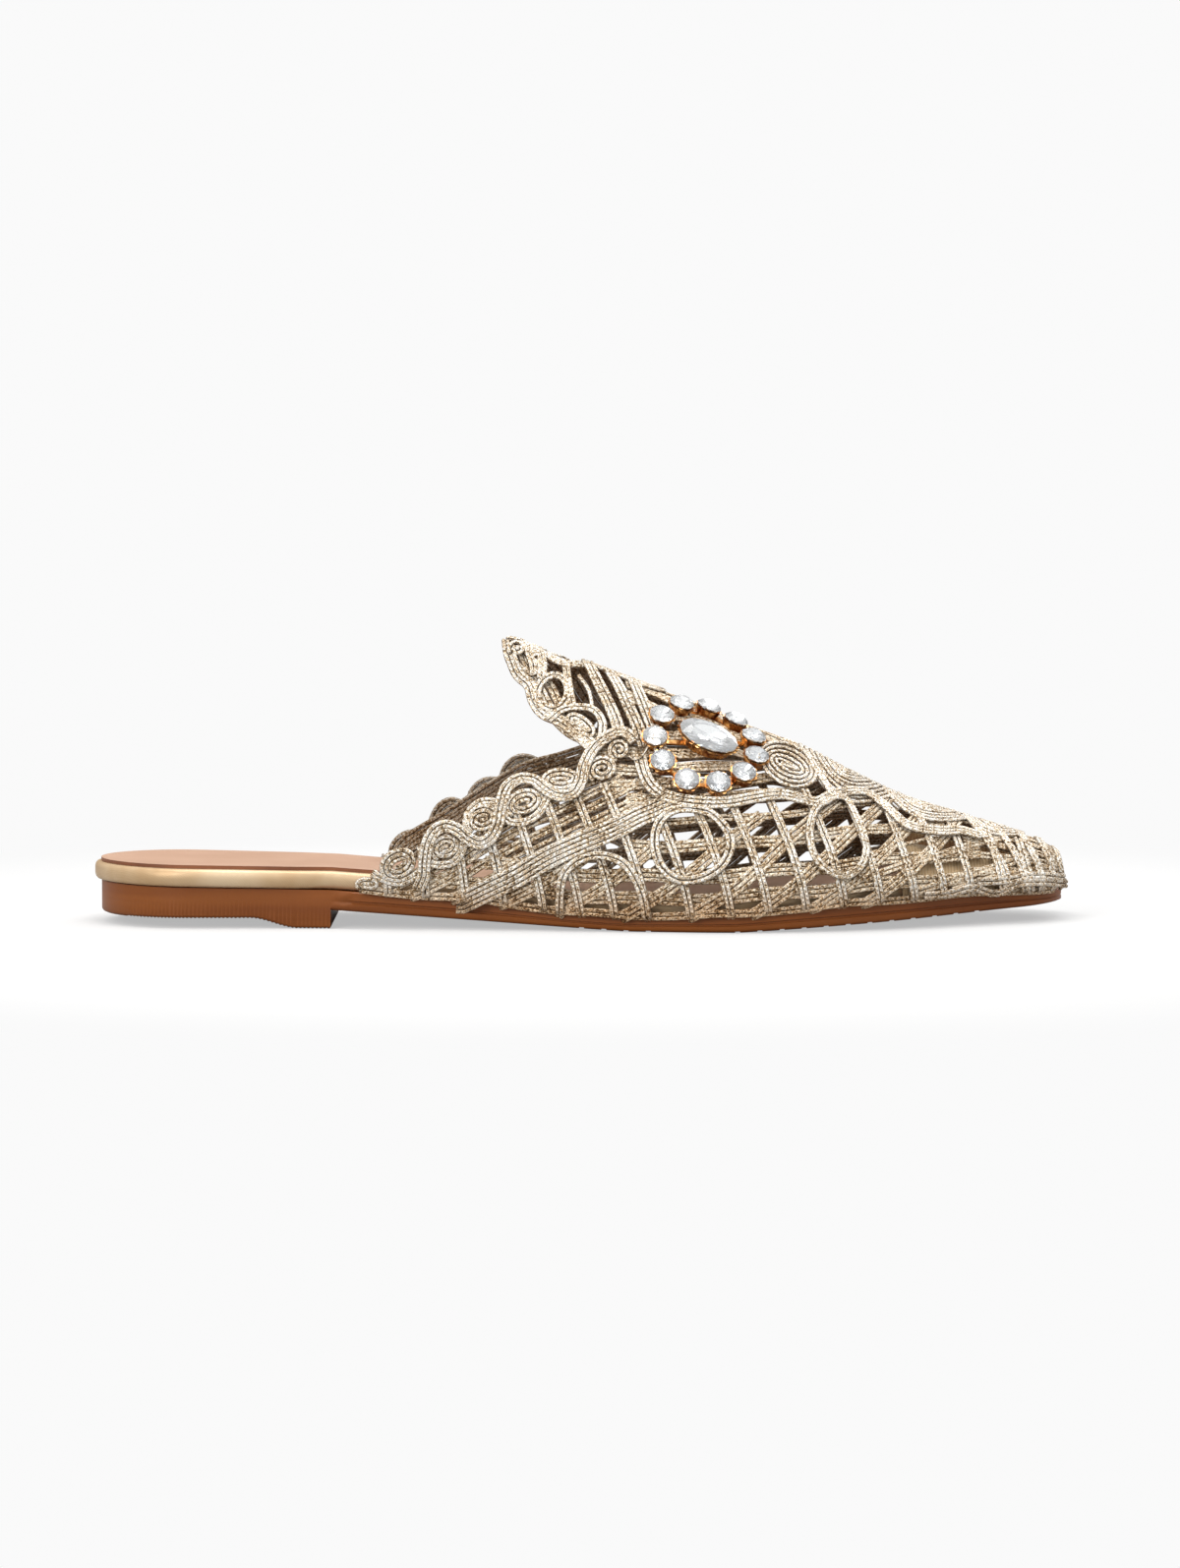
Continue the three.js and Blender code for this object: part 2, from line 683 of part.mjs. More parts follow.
// Place and height of a row on a column. Where the upper is low the rows crowd under its crest.
function faceCrossing(foot, row, crestShare) {
  let x = foot;
  let up = 0;
  for (let pass = 0; pass < 6; pass += 1) {
    const cut = section(x, 1, 0);
    const full = cut.top - cut.foot;
    const share = (faceRows[row].up * instepHeight) / full;
    const low = share / (1 + share ** 4) ** 0.25;
    const lowTurn = Math.asin(low ** (1 / cut.power));
    const turn = lowTurn + (Math.PI / 2 - lowTurn) * crestShare;
    up = full * Math.sin(turn) ** cut.power;
    x = leaningLine(foot, up);
  }
  return { x, up };
}

function ridgedSolid() {
  const columns = faceColumns();
  const rowCount = faceRows.length - 1 + crestShares.length;
  const box = new THREE.BoxGeometry(1, 1, 1, columns.length - 1, 2 * rowCount, 1);
  return solidOf(
    reshape(box, (a, b, c) => {
      const column = columns[Math.round((0.5 + a) * (columns.length - 1))];
      const side = b < 0 ? -1 : 1;
      const step = rowCount - Math.round(Math.abs(b) * 2 * rowCount);
      const row = Math.min(step, faceRows.length - 1);
      const { x, up } = faceCrossing(column.foot, row, step === row ? 0 : crestShares[step - row - 1]);
      if (c < 0) {
        const outer = section(column.foot, -1, 0);
        const inner = section(column.foot, 1, 0);
        return [column.foot, outer.edge + (inner.edge - outer.edge) * (b + 0.5), outer.foot];
      }
      if (step === rowCount) return surfacePoint(x, side, Math.PI / 2);
      const onRib = column.rib && step === row && faceRows[row].up < column.rib.top && row > 0;
      const raise = onRib ? 1 : step === row ? faceRows[row].raise : 0;
      return onUpper(x, up, cordRise * raise * endFactor(x, shoeLength, 1), side);
    }),
  );
}

const upperOuter = ridgedSolid();
const upperInner = lastSolid(wallThickness, rearAt - hollowRear, hollowDrop);
let upperSolid = upperOuter.subtract(upperInner);
for (const side of [-1, 1]) {
  upperSolid = upperSolid.subtract(openingCutter(side));
  for (const row of gapRows) {
    for (let index = 0; index + 1 < ribs.length; index += 1) {
      const top = Math.min(ribs[index].top, ribs[index + 1].top);
      if (row.to > top || ribs[index].at < row.first) continue;
      upperSolid = upperSolid.subtract(gapCutter(row, ribs[index], ribs[index + 1], side));
    }
  }
}
for (const side of [-1, 1]) {
  for (const piece of latticeStrips(side)) upperSolid = upperSolid.add(piece);
}

// Brooch. Stones stand round the ring at these angles, in degrees: 0 is to the toe, 90 inwards.
const stoneTurns = [153, 184, 215, 250, 284, 316, 347, 20, 53, 87, 120];
const barTurns = [0, 180];

const broochCentre = new THREE.Vector3(...onUpper(broochAt, broochUp, 0, -1));
const broochNormal = new THREE.Vector3(...onUpper(broochAt, broochUp, 1, -1)).sub(broochCentre);
const broochForward = new THREE.Vector3(1, 0, 0).addScaledVector(broochNormal, -broochNormal.x).normalize();
const broochInward = broochNormal.clone().cross(broochForward);

// The face of the upper met by going along the brooch's normal from a place in its plane:
// "around" runs from the outer feather edge (0) over the crest to the inner one (pi).
function faceUnder(along, across) {
  const start = section(broochAt, -1, 0);
  let x = broochAt + along;
  let around = Math.asin((broochUp / (start.top - start.foot)) ** (1 / start.power));
  const point = (atX, turn) =>
    new THREE.Vector3(...surfacePoint(atX, turn < Math.PI / 2 ? -1 : 1, Math.min(turn, Math.PI - turn)));
  for (let pass = 0; pass < 40; pass += 1) {
    const offset = point(x, around).sub(broochCentre);
    x += 0.7 * (along - offset.dot(broochForward));
    around += (0.5 * (across - offset.dot(broochInward))) / (ballWidth / 2);
  }
  const here = point(x, around);
  const forward = point(x + 0.5, around).sub(here);
  const inward = point(x, around + 0.02).sub(point(x, around - 0.02));
  return { here, normal: forward.cross(inward).normalize() };
}

// Stands a piece made along +Z on the upper's face, its own X towards the toe.
function standOn(face, raise) {
  const forward = new THREE.Vector3(1, 0, 0).addScaledVector(face.normal, -face.normal.x).normalize();
  const inward = face.normal.clone().cross(forward);
  const frame = new THREE.Matrix4().makeBasis(forward, inward, face.normal);
  return frame.setPosition(face.here.clone().addScaledVector(face.normal, raise));
}

function cupGeometry(length, width, height, sides) {
  const lip = 1 - cupRim / (width / 2);
  const profile = [
    new THREE.Vector2(0, 0),
    new THREE.Vector2(lip, 0),
    new THREE.Vector2(1, height),
    new THREE.Vector2(lip, height),
    new THREE.Vector2(0, height - stoneDepth - seat),
  ];
  const cup = new THREE.LatheGeometry(profile, sides);
  return cup.rotateX(Math.PI / 2).scale(length / 2 + cupRim, width / 2 + cupRim, 1);
}

function stoneGeometry(length, width, crown, sides) {
  const profile = [
    new THREE.Vector2(0, seat - stoneDepth),
    new THREE.Vector2(1, seat + girdle),
    new THREE.Vector2(stoneTable, seat + crown),
    new THREE.Vector2(0, seat + crown),
  ];
  const stone = new THREE.LatheGeometry(profile, sides);
  return stone.rotateX(Math.PI / 2).scale(length / 2, width / 2, 1);
}

// A straight link between two cups, from one foot to the other
function linkBetween(from, to) {
  const link = new THREE.BoxGeometry(1, linkWidth, linkHeight);
  const way = to.clone().sub(from);
  const forward = way.clone().normalize();
  const inward = broochNormal.clone().cross(forward).normalize();
  const frame = new THREE.Matrix4().makeBasis(forward, inward, forward.clone().cross(inward));
  link.scale(way.length(), 1, 1);
  return link.applyMatrix4(frame.setPosition(from.clone().add(to).multiplyScalar(0.5)));
}

const centreFace = { here: broochCentre, normal: broochNormal };
const centreAngle = THREE.MathUtils.degToRad(centreTurn);
const ringFaces = stoneTurns.map((degrees) => {
  const angle = THREE.MathUtils.degToRad(degrees);
  return faceUnder((ringLength / 2) * Math.cos(angle), (ringWidth / 2) * Math.sin(angle));
});

function makeSetting() {
  const centreCup = cupGeometry(centreLength, centreWidth, centreCupHeight, 14);
  let solid = solidOf(centreCup.rotateZ(centreAngle).applyMatrix4(standOn(centreFace, seat)));
  const linkRaise = seat + linkLift;
  const feet = ringFaces.map((face) => face.here.clone().addScaledVector(face.normal, linkRaise));
  const heart = broochCentre.clone().addScaledVector(broochNormal, linkRaise);
  ringFaces.forEach((face, index) => {
    const cup = cupGeometry(stoneSize, stoneSize, cupHeight, 8);
    solid = solid.add(solidOf(cup.applyMatrix4(standOn(face, seat))));
    solid = solid.add(solidOf(linkBetween(feet[index], feet[(index + 1) % feet.length])));
  });
  for (const degrees of barTurns) {
    const nearest = stoneTurns.reduce((best, turn, index) =>
      Math.abs(turn - degrees) < Math.abs(stoneTurns[best] - degrees) ? index : best, 0);
    solid = solid.add(solidOf(linkBetween(heart, feet[nearest])));
  }
  return solid;
}

const shoe = new THREE.Group();
shoe.name = "straw_mule";
shoe.position.x = -(heelFlatFrom + breastAt) / 2;

function addPiece(name, solid, color, roughness, metalness) {
  const material = new THREE.MeshStandardMaterial({ color, roughness, metalness });
  const mesh = new THREE.Mesh(geometryOf(solid), material);
  mesh.name = name;
  shoe.add(mesh);
}

addPiece("outsole", makeOutsole(), "#804e30", 0.5, 0);
addPiece("footbed_board", makeBoard(), "#d6be91", 0.35, 0.4);
addPiece("insock", makeInsock(), "#dec8bc", 0.6, 0);
addPiece("upper", upperSolid, "#c9b183", 0.45, 0.6);
addPiece("brooch_setting", makeSetting(), "#c8823a", 0.25, 1);

const centreStone = stoneGeometry(centreLength, centreWidth, centreCrown, 12);
centreStone.rotateZ(centreAngle).applyMatrix4(standOn(centreFace, seat + centreCupHeight));
addPiece("centre_stone", solidOf(centreStone), "#f4f6f8", 0.03, 0);
ringFaces.forEach((face, index) => {
  const stone = stoneGeometry(stoneSize, stoneSize, stoneCrown, 8);
  stone.applyMatrix4(standOn(face, seat + cupHeight));
  addPiece("stone_" + String(index + 1).padStart(2, "0"), solidOf(stone), "#f4f6f8", 0.03, 0);
});

export default shoe;
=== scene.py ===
# %% [markdown]
# # A corded straw mule, dressed piece by piece
# The shoe is a pointed flat mule: a brown moulded sole, a board wrapped in gold satin, a thin insock,
# an upper made of one metallic cord laid in loops and bands, and a stone brooch on the vamp.
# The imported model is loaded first. It is the measure for everything that follows.

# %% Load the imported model
import math

import bpy
import numpy as np
from mathutils import Matrix, Vector


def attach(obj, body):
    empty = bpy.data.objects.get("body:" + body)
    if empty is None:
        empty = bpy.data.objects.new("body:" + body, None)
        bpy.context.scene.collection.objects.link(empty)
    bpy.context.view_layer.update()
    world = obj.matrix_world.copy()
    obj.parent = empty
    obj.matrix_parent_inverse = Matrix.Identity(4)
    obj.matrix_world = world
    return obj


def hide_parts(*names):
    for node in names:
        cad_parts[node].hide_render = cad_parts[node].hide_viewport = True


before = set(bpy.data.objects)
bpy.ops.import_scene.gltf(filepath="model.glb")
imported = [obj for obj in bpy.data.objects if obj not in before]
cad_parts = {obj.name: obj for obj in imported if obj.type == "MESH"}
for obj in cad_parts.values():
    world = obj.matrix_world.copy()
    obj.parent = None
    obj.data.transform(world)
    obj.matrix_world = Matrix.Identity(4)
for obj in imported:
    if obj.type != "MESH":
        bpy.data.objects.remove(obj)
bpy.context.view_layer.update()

# %% [markdown]
# ## Sizes and tables
# The upper is a surface with no flat place on it, so the cords can only be laid where they belong if
# this lesson knows that surface. The part's own sizes and tables are repeated here, in millimetres
# from the back of the heel, and read with the same smooth curve through their rows.

# %% Sizes in millimetres
MM = 0.001
HEEL_SHIFT = 61.5
SHOE_LENGTH = 268.0
TIP_AT = SHOE_LENGTH - 1.2
SEAT_WIDTH, WAIST_WIDTH, BALL_WIDTH, TOE_WIDTH = 56.0, 51.0, 76.0, 30.0
HEEL_ROUND, TOE_ROUND, TOE_BLUNT = 27.0, 12.0, 0.97
INSTEP = 70.0
HEEL_HEIGHT, WAIST_GAP, TOE_SPRING, HEEL_SPRING = 11.6, 5.1, 5.0, 2.7
SOLE_THICK, BREAST_AT, HEEL_RISE, HEEL_FLAT, BALL_FROM, BALL_TO = 5.4, 66.0, 44.0, 57.0, 147.0, 176.0
WAIST_CURVE, TOE_CURVE = 1.1, 1.05
FEATHER, SEAT, REAR_AT, BROOCH_AT = 1.0, 0.3, 69.0, 167.7
SIDE_BULGE, BULGE_HIGH, PINCH_FROM, PINCH_FULL = 1.2, 0.45, 0.4, 0.9
RIB_LEAN, LEAN_CURVE = 33.0, 1.4
OUTER, INNER = -1, 1


def table(names, rows):
    """A short table as columns."""
    columns = np.array(rows, float).T
    return dict(zip(names.split(), columns))


OUTLINE = table("at outer inner", [
    (0, -0.49 * SEAT_WIDTH, 0.49 * SEAT_WIDTH),
    (0.1, -0.5 * SEAT_WIDTH, 0.5 * SEAT_WIDTH),
    (0.24, -0.49 * SEAT_WIDTH, 0.43 * SEAT_WIDTH),
    (0.38, -0.57 * WAIST_WIDTH, 0.41 * WAIST_WIDTH),
    (0.52, -0.45 * BALL_WIDTH, 0.36 * BALL_WIDTH),
    (0.64, -0.51 * BALL_WIDTH, 0.47 * BALL_WIDTH),
    (0.72, -0.48 * BALL_WIDTH, 0.51 * BALL_WIDTH),
    (0.82, -0.37 * BALL_WIDTH, 0.47 * BALL_WIDTH),
    (0.92, -0.17 * BALL_WIDTH, 0.36 * BALL_WIDTH),
    (1, -0.11 * TOE_WIDTH, 0.73 * TOE_WIDTH),
])
THICKNESS = table("at share", [
    (0.24, 1), (0.37, 0.96), (0.44, 0.82), (0.5, 0.68), (0.57, 0.72),
    (0.65, 0.8), (0.71, 0.92), (0.82, 0.96), (0.92, 0.82), (1, 0.56),
])
CREST = table("at height lean outer inner pinch", [
    (0.24, 1.1, 0.05, 2.1, 2.3, 0), (0.36, 1.1, 0.05, 2.1, 2.3, 0.15),
    (0.43, 1.085, 0.055, 1.9, 2.1, 0.5), (0.465, 1.03, 0.06, 1.85, 2, 0.36),
    (0.507, 0.99, 0.07, 1.8, 1.95, 0.16), (0.563, 0.91, 0.08, 1.75, 1.9, 0.04),
    (0.616, 0.84, 0.085, 1.75, 1.9, 0), (0.66, 0.765, 0.09, 1.8, 1.9, 0),
    (0.718, 0.68, 0.095, 1.85, 1.95, 0), (0.775, 0.567, 0.1, 1.95, 2, 0),
    (0.832, 0.463, 0.105, 2.1, 2.1, 0), (0.888, 0.395, 0.11, 2.2, 2.2, 0),
    (0.944, 0.33, 0.118, 2.4, 2.4, 0), (0.98, 0.28, 0.122, 2.6, 2.6, 0),
    (1, 0.215, 0.122, 2.8, 2.8, 0),
])
COLLAR = table("at outer inner", [
    (0.25, 0.13, 0.15), (0.27, 0.19, 0.21), (0.3, 0.26, 0.3), (0.36, 0.37, 0.44),
    (0.4, 0.47, 0.54), (0.44, 0.555, 0.63), (0.48, 0.63, 0.675), (0.517, 0.7, 0.72),
])


def read_table(rows, column, share):
    """Smooth value of a column at a share of the length."""
    at, value = rows["at"], rows[column]
    slope = np.empty_like(value)
    slope[1:-1] = (value[2:] - value[:-2]) / (at[2:] - at[:-2])
    slope[0] = (value[1] - value[0]) / (at[1] - at[0])
    slope[-1] = (value[-1] - value[-2]) / (at[-1] - at[-2])
    share = np.clip(share, at[0], at[-1])
    row = np.clip(np.searchsorted(at, share, side="right") - 1, 0, len(at) - 2)
    span = at[row + 1] - at[row]
    t = (share - at[row]) / span
    return (value[row] * (2 * t**3 - 3 * t**2 + 1) + slope[row] * span * (t**3 - 2 * t**2 + t)
            + value[row + 1] * (3 * t**2 - 2 * t**3) + slope[row + 1] * span * (t**3 - t**2))


def blend(start, end, x):
    t = np.clip((x - start) / (end - start), 0, 1)
    return t * t * (3 - 2 * t)


# %% [markdown]
# ## The last's surface
# A point of the upper is named by two numbers: how far it is from the heel, and how far round the
# foot it lies, from the outer feather edge over the crest to the inner one. Two numbers are enough
# to draw a cord's path on paper, and the functions below wrap that path onto the shoe.

# %% The sole's heights and outline
def end_factor(x, toe_end, bluntness):
    heel = np.clip(x / HEEL_ROUND, 0, 1)
    toe = np.clip((x - toe_end + TOE_ROUND) / TOE_ROUND, 0, 1)
    return np.sqrt(1 - (1 - heel) ** 2) * np.sqrt(1 - bluntness * toe**2)


def plan_edges(x, inset, toe_end=SHOE_LENGTH, bluntness=1.0):
    outer = read_table(OUTLINE, "outer", x / SHOE_LENGTH)
    inner = read_table(OUTLINE, "inner", x / SHOE_LENGTH)
    middle = (outer + inner) / 2
    factor = end_factor(x, toe_end, bluntness)
    return middle + (outer + inset - middle) * factor, middle + (inner - inset - middle) * factor


def sole_underside(x):
    x = np.asarray(x, float)
    heel = HEEL_SPRING * (1 - blend(HEEL_RISE, HEEL_FLAT, x))
    waist = WAIST_GAP * np.clip((BALL_FROM - x) / (BALL_FROM - BREAST_AT), 0, 1) ** WAIST_CURVE
    toe = TOE_SPRING * np.clip((x - BALL_TO) / (SHOE_LENGTH - BALL_TO), 0, 1) ** TOE_CURVE
    return np.where(x < BREAST_AT, heel, np.where(x < BALL_FROM, waist, toe))


def sole_top(x):
    x = np.asarray(x, float)
    breast_top = WAIST_GAP + SOLE_THICK
    heel = HEEL_HEIGHT + (breast_top - HEEL_HEIGHT) * (x / BREAST_AT)
    front = sole_underside(x) + SOLE_THICK * read_table(THICKNESS, "share", x / SHOE_LENGTH)
    return np.where(x < BREAST_AT, heel, front)


# %% The upper's face
def section(x, side, inset=0.0):
    share = x / SHOE_LENGTH
    outer, inner = plan_edges(x, inset - FEATHER, SHOE_LENGTH - inset, TOE_BLUNT)
    return {
        "foot": sole_top(np.minimum(x, SHOE_LENGTH)) + SEAT,
        "edge": outer if side < 0 else inner,
        "top": read_table(CREST, "height", share) * INSTEP - inset,
        "middle": read_table(CREST, "lean", share) * BALL_WIDTH,
        "power": 2 / read_table(CREST, "outer" if side < 0 else "inner", share),
        "pinch": read_table(CREST, "pinch", share),
        "factor": end_factor(x, SHOE_LENGTH - inset, TOE_BLUNT),
    }


def face(x, around, inset=0.0):
    """Points of the upper: around is 0 at the outer feather edge, pi at the inner one."""
    x, around = np.broadcast_arrays(np.asarray(x, float), np.asarray(around, float))
    points = np.empty(x.shape + (3,))
    for side in (OUTER, INNER):
        here = around <= math.pi / 2 if side == OUTER else around > math.pi / 2
        turn = around[here] if side == OUTER else math.pi - around[here]
        turn = np.clip(turn, 0, math.pi / 2)
        cut = section(x[here], side, inset)
        rise = np.sin(turn) ** cut["power"]
        reach = np.cos(turn) ** cut["power"] * (1 - cut["pinch"] * blend(PINCH_FROM, PINCH_FULL, rise))
        swell = SIDE_BULGE * cut["factor"] * np.sin(math.pi * np.minimum(1, rise / BULGE_HIGH))
        y = cut["middle"] + (cut["edge"] - cut["middle"]) * reach + side * swell
        points[here] = np.stack([x[here], y, cut["foot"] + (cut["top"] - cut["foot"]) * rise], -1)
    return points


def unit(vectors):
    return vectors / np.maximum(np.linalg.norm(vectors, axis=-1, keepdims=True), 1e-9)


def face_normal(x, around):
    """The surface's direction, from two short steps along it and two round it."""
    step, turn = 0.6, 0.02
    x = np.clip(x, REAR_AT - 6, TIP_AT)
    around = np.clip(around, 1.5 * turn, math.pi - 1.5 * turn)
    forward = face(x + step, around) - face(x - step, around)
    inward = face(x, around + turn) - face(x, around - turn)
    return unit(np.cross(forward, inward))


def around_at(x, up, side):
    """How far round the foot the height above the feather edge is reached, on one side."""
    cut = section(x, side)
    share = np.clip(up / (cut["top"] - cut["foot"]), 0, 1)
    turn = np.arcsin(share ** (1 / cut["power"]))
    return turn if side == OUTER else math.pi - turn


def collar_up(x, side):
    """Height of the collar edge above the feather edge."""
    column = "outer" if side == OUTER else "inner"
    return read_table(COLLAR, column, x / SHOE_LENGTH) * INSTEP - section(x, side)["foot"]


print("crest at the brooch", np.round(face(BROOCH_AT, math.pi / 2), 1))

# %% [markdown]
# ## Camera, floor and light
# The shoe is seen from its outer side, almost level, through a long lens. The floor runs up into a
# backdrop so that no horizon shows. One large soft light above, one from the front and one from behind
# give the metallic thread both a bright side and a dark side.

# %% Camera
AIM = Vector((0.0748, 0.0, 0.0375))
ELEVATION = math.radians(4.0)
DISTANCE = 1.5
LENS, SENSOR_HEIGHT, SENSOR_WIDTH = 125.0, 36.0, 27.1

camera_data = bpy.data.cameras.new("camera")
camera_data.lens = LENS
camera_data.sensor_fit = "VERTICAL"
camera_data.sensor_height = SENSOR_HEIGHT
camera_data.sensor_width = SENSOR_WIDTH
camera = bpy.data.objects.new("camera", camera_data)
camera.location = AIM + DISTANCE * Vector((0, -math.cos(ELEVATION), math.sin(ELEVATION)))
camera.rotation_euler = (math.pi / 2 - ELEVATION, 0, 0)
bpy.context.scene.collection.objects.link(camera)
bpy.context.scene.camera = camera
bpy.context.scene.view_settings.view_transform = "Standard"
print("camera", np.round(camera.location, 3))


# %% A fresh start for each primitive
def start(adder, **options):
    """Nothing selected, one primitive added, and that primitive returned."""
    bpy.ops.object.select_all(action="DESELECT")
    adder(**options)
    return bpy.context.active_object


# %% Floor and backdrop
FLOOR_HALF, BACKDROP_HIGH, BEND = 3.0, 3.0, 1.2


def pick_edges(piece, rule):
    """Selects the edges whose two ends both follow the rule."""
    bpy.ops.object.mode_set(mode="EDIT")
    bpy.ops.mesh.select_all(action="DESELECT")
    bpy.ops.object.mode_set(mode="OBJECT")
    for edge in piece.data.edges:
        edge.select = all(rule(piece.data.vertices[end].co) for end in edge.vertices)
    bpy.ops.object.mode_set(mode="EDIT")
    bpy.ops.mesh.select_mode(type="EDGE")


floor = start(bpy.ops.mesh.primitive_plane_add, size=2 * FLOOR_HALF, location=(0.08, 1.0, 0))
floor.name = "floor"
pick_edges(floor, lambda co: co.y > FLOOR_HALF - 0.1)
bpy.ops.mesh.extrude_region_move(TRANSFORM_OT_translate={"value": (0, 0, BACKDROP_HIGH)})
pick_edges(floor, lambda co: co.y > FLOOR_HALF - 0.1 and co.z < 0.01)
bpy.ops.mesh.bevel(offset=BEND, segments=12, affect="EDGES")
bpy.ops.object.mode_set(mode="OBJECT")
bpy.ops.object.shade_smooth()
bpy.ops.object.transform_apply(location=True)


# %% Lights
LAMPS = [  # name, place, height of the point it looks at, size, power, colour
    ("top_light", (0.02, -0.10, 0.9), 0.03, (0.7, 0.5), 5.5, (1, 0.985, 0.96)),
    ("front_light", (-0.5, -0.9, 0.5), 0.03, (0.4, 0.4), 5.0, (1, 0.98, 0.95)),
    ("back_light", (0.5, 0.8, 0.5), 0.04, (0.5, 0.3), 2.5, (1, 1, 1)),
]
for name, place, aim_height, size, power, colour in LAMPS:
    lamp = bpy.data.lights.new(name, "AREA")
    lamp.shape = "RECTANGLE"
    lamp.size, lamp.size_y = size
    lamp.energy = power
    lamp.color = colour
    holder = bpy.data.objects.new(name, lamp)
    holder.location = place
    holder.rotation_euler = (Vector((0.08, 0, aim_height)) - Vector(place)).to_track_quat("-Z", "Y").to_euler()
    bpy.context.scene.collection.objects.link(holder)
print("lamps", [name for name, *_ in LAMPS])

# %% [markdown]
# ## Material helpers
# A material is a tree of nodes. One class holds short calls for the few kinds of node used here, and
# a second one opens a new material and joins the finished colour, gloss and relief to its shader.
# Wherever a node wants a value, it may be a number, a written colour or another node's output.

# %% Node helpers
def hexed(code):
    """A linear colour from a written one."""
    parts = [int(code[i:i + 2], 16) / 255 for i in (1, 3, 5)]
    return tuple(c / 12.92 if c <= 0.04045 else ((c + 0.055) / 1.055) ** 2.4 for c in parts) + (1.0,)


class Nodes:
    """A node tree with short calls."""

    def __init__(self, tree):
        self.tree = tree

    def fill(self, socket, value):
        if isinstance(value, bpy.types.NodeSocket):
            self.tree.links.new(value, socket)
        else:
            socket.default_value = hexed(value) if isinstance(value, str) else value

    def add(self, kind, inputs, output=0, **settings):
        """Adds a node and returns one of its outputs, or all of them if output is None."""
        node = self.tree.nodes.new("ShaderNode" + kind)
        for key, value in settings.items():
            setattr(node, key, value)
        for key, value in inputs.items():
            self.fill(node.inputs[key], value)
        return node.outputs if output is None else node.outputs[output]

    def math(self, operation, *values):
        return self.add("Math", dict(enumerate(values)), operation=operation)

    def mix(self, factor, first, second, kind="MIX"):
        return self.add("Mix", {0: factor, 6: first, 7: second}, 2, data_type="RGBA", blend_type=kind)

    def spread(self, value, low, high, start=0.0, end=1.0, **settings):
        """The value's range from low to high, spread from start to end."""
        return self.add("MapRange", {0: value, 1: low, 2: high, 3: start, 4: end}, **settings)

    def noise(self, vector, scale, detail, **more):
        return self.add("TexNoise", {"Vector": vector, "Scale": scale, "Detail": detail, **more})


class Paint(Nodes):
    """A new material with its shader and the place on the object."""

    def __init__(self, name, **values):
        self.material = bpy.data.materials.new(name)
        self.material.use_nodes = True
        super().__init__(self.material.node_tree)
        self.shader = self.tree.nodes["Principled BSDF"].inputs
        for key, value in values.items():
            self.shader[key.replace("_", " ")].default_value = value
        self.place = self.add("TexCoord", {}, "Object")

    def plug(self, colour, rough=None, relief=None, strength=0.2, distance=0.0001):
        """Joins colour, roughness and relief to the shader and hands back the material."""
        self.fill(self.shader["Base Color"], colour)
        if rough is not None:
            self.fill(self.shader["Roughness"], rough)
        if relief is not None:
            bump = self.add("Bump", {"Strength": strength, "Distance": distance, "Height": relief})
            self.fill(self.shader["Normal"], bump)
        return self.material


# %% [markdown]
# ## The cord's braid
# The cord is plaited from flat metallic thread. Its small strands cross in two directions, so two
# slanting waves are laid along it, and whichever is higher is seen. The height drives a bump, and the
# hollows between strands and the cord's flanks are given out as masks for painted shade. The pattern
# follows the cord because it reads the cord's own map: millimetres along it and turns round it.

# %% Braid group
braid = bpy.data.node_groups.new("cord_braid", "ShaderNodeTree")
for label, kind in (("Map", "Vector"), ("Pitch", "Float"), ("Turns", "Float"), ("Grain", "Float")):
    braid.interface.new_socket(label, in_out="INPUT", socket_type="NodeSocket" + kind)
for label in ("Height", "HollowShade", "FlankShade", "Speck"):
    braid.interface.new_socket(label, in_out="OUTPUT", socket_type="NodeSocketFloat")
given = braid.nodes.new("NodeGroupInput").outputs
result = braid.nodes.new("NodeGroupOutput").inputs

nodes = Nodes(braid)
along, turned, _ = nodes.add("SeparateXYZ", {0: given["Map"]}, None)
uneven = nodes.noise(given["Map"], 0.55, 1.0)
pace = nodes.math("DIVIDE", nodes.math("MULTIPLY_ADD", uneven, 4.0, along), given["Pitch"])
twist = nodes.math("MULTIPLY", turned, given["Turns"])
strands = []
for way in ("ADD", "SUBTRACT"):
    wave = nodes.math("SINE", nodes.math("MULTIPLY", nodes.math(way, pace, twist), math.pi))
    strands.append(nodes.math("ABSOLUTE", wave))
height = nodes.math("MAXIMUM", strands[0], nodes.math("MULTIPLY", strands[1], 0.9))
topness = nodes.math("SINE", nodes.math("MULTIPLY", turned, 2 * math.pi))
stretched = nodes.add("CombineXYZ", {0: along, 1: nodes.math("MULTIPLY", turned, 5.0)})
nodes.fill(result["Height"], height)
# Masks for painted shade: the hollows between strands, and the cord's sides away from its top.
nodes.fill(result["HollowShade"], nodes.spread(height, 0.85, 0.5))
nodes.fill(result["FlankShade"], nodes.spread(topness, 0.62, 0.05))
nodes.fill(result["Speck"], nodes.noise(stretched, given["Grain"], 2.5, Roughness=0.75))
print("braid group with", len(braid.nodes), "nodes")
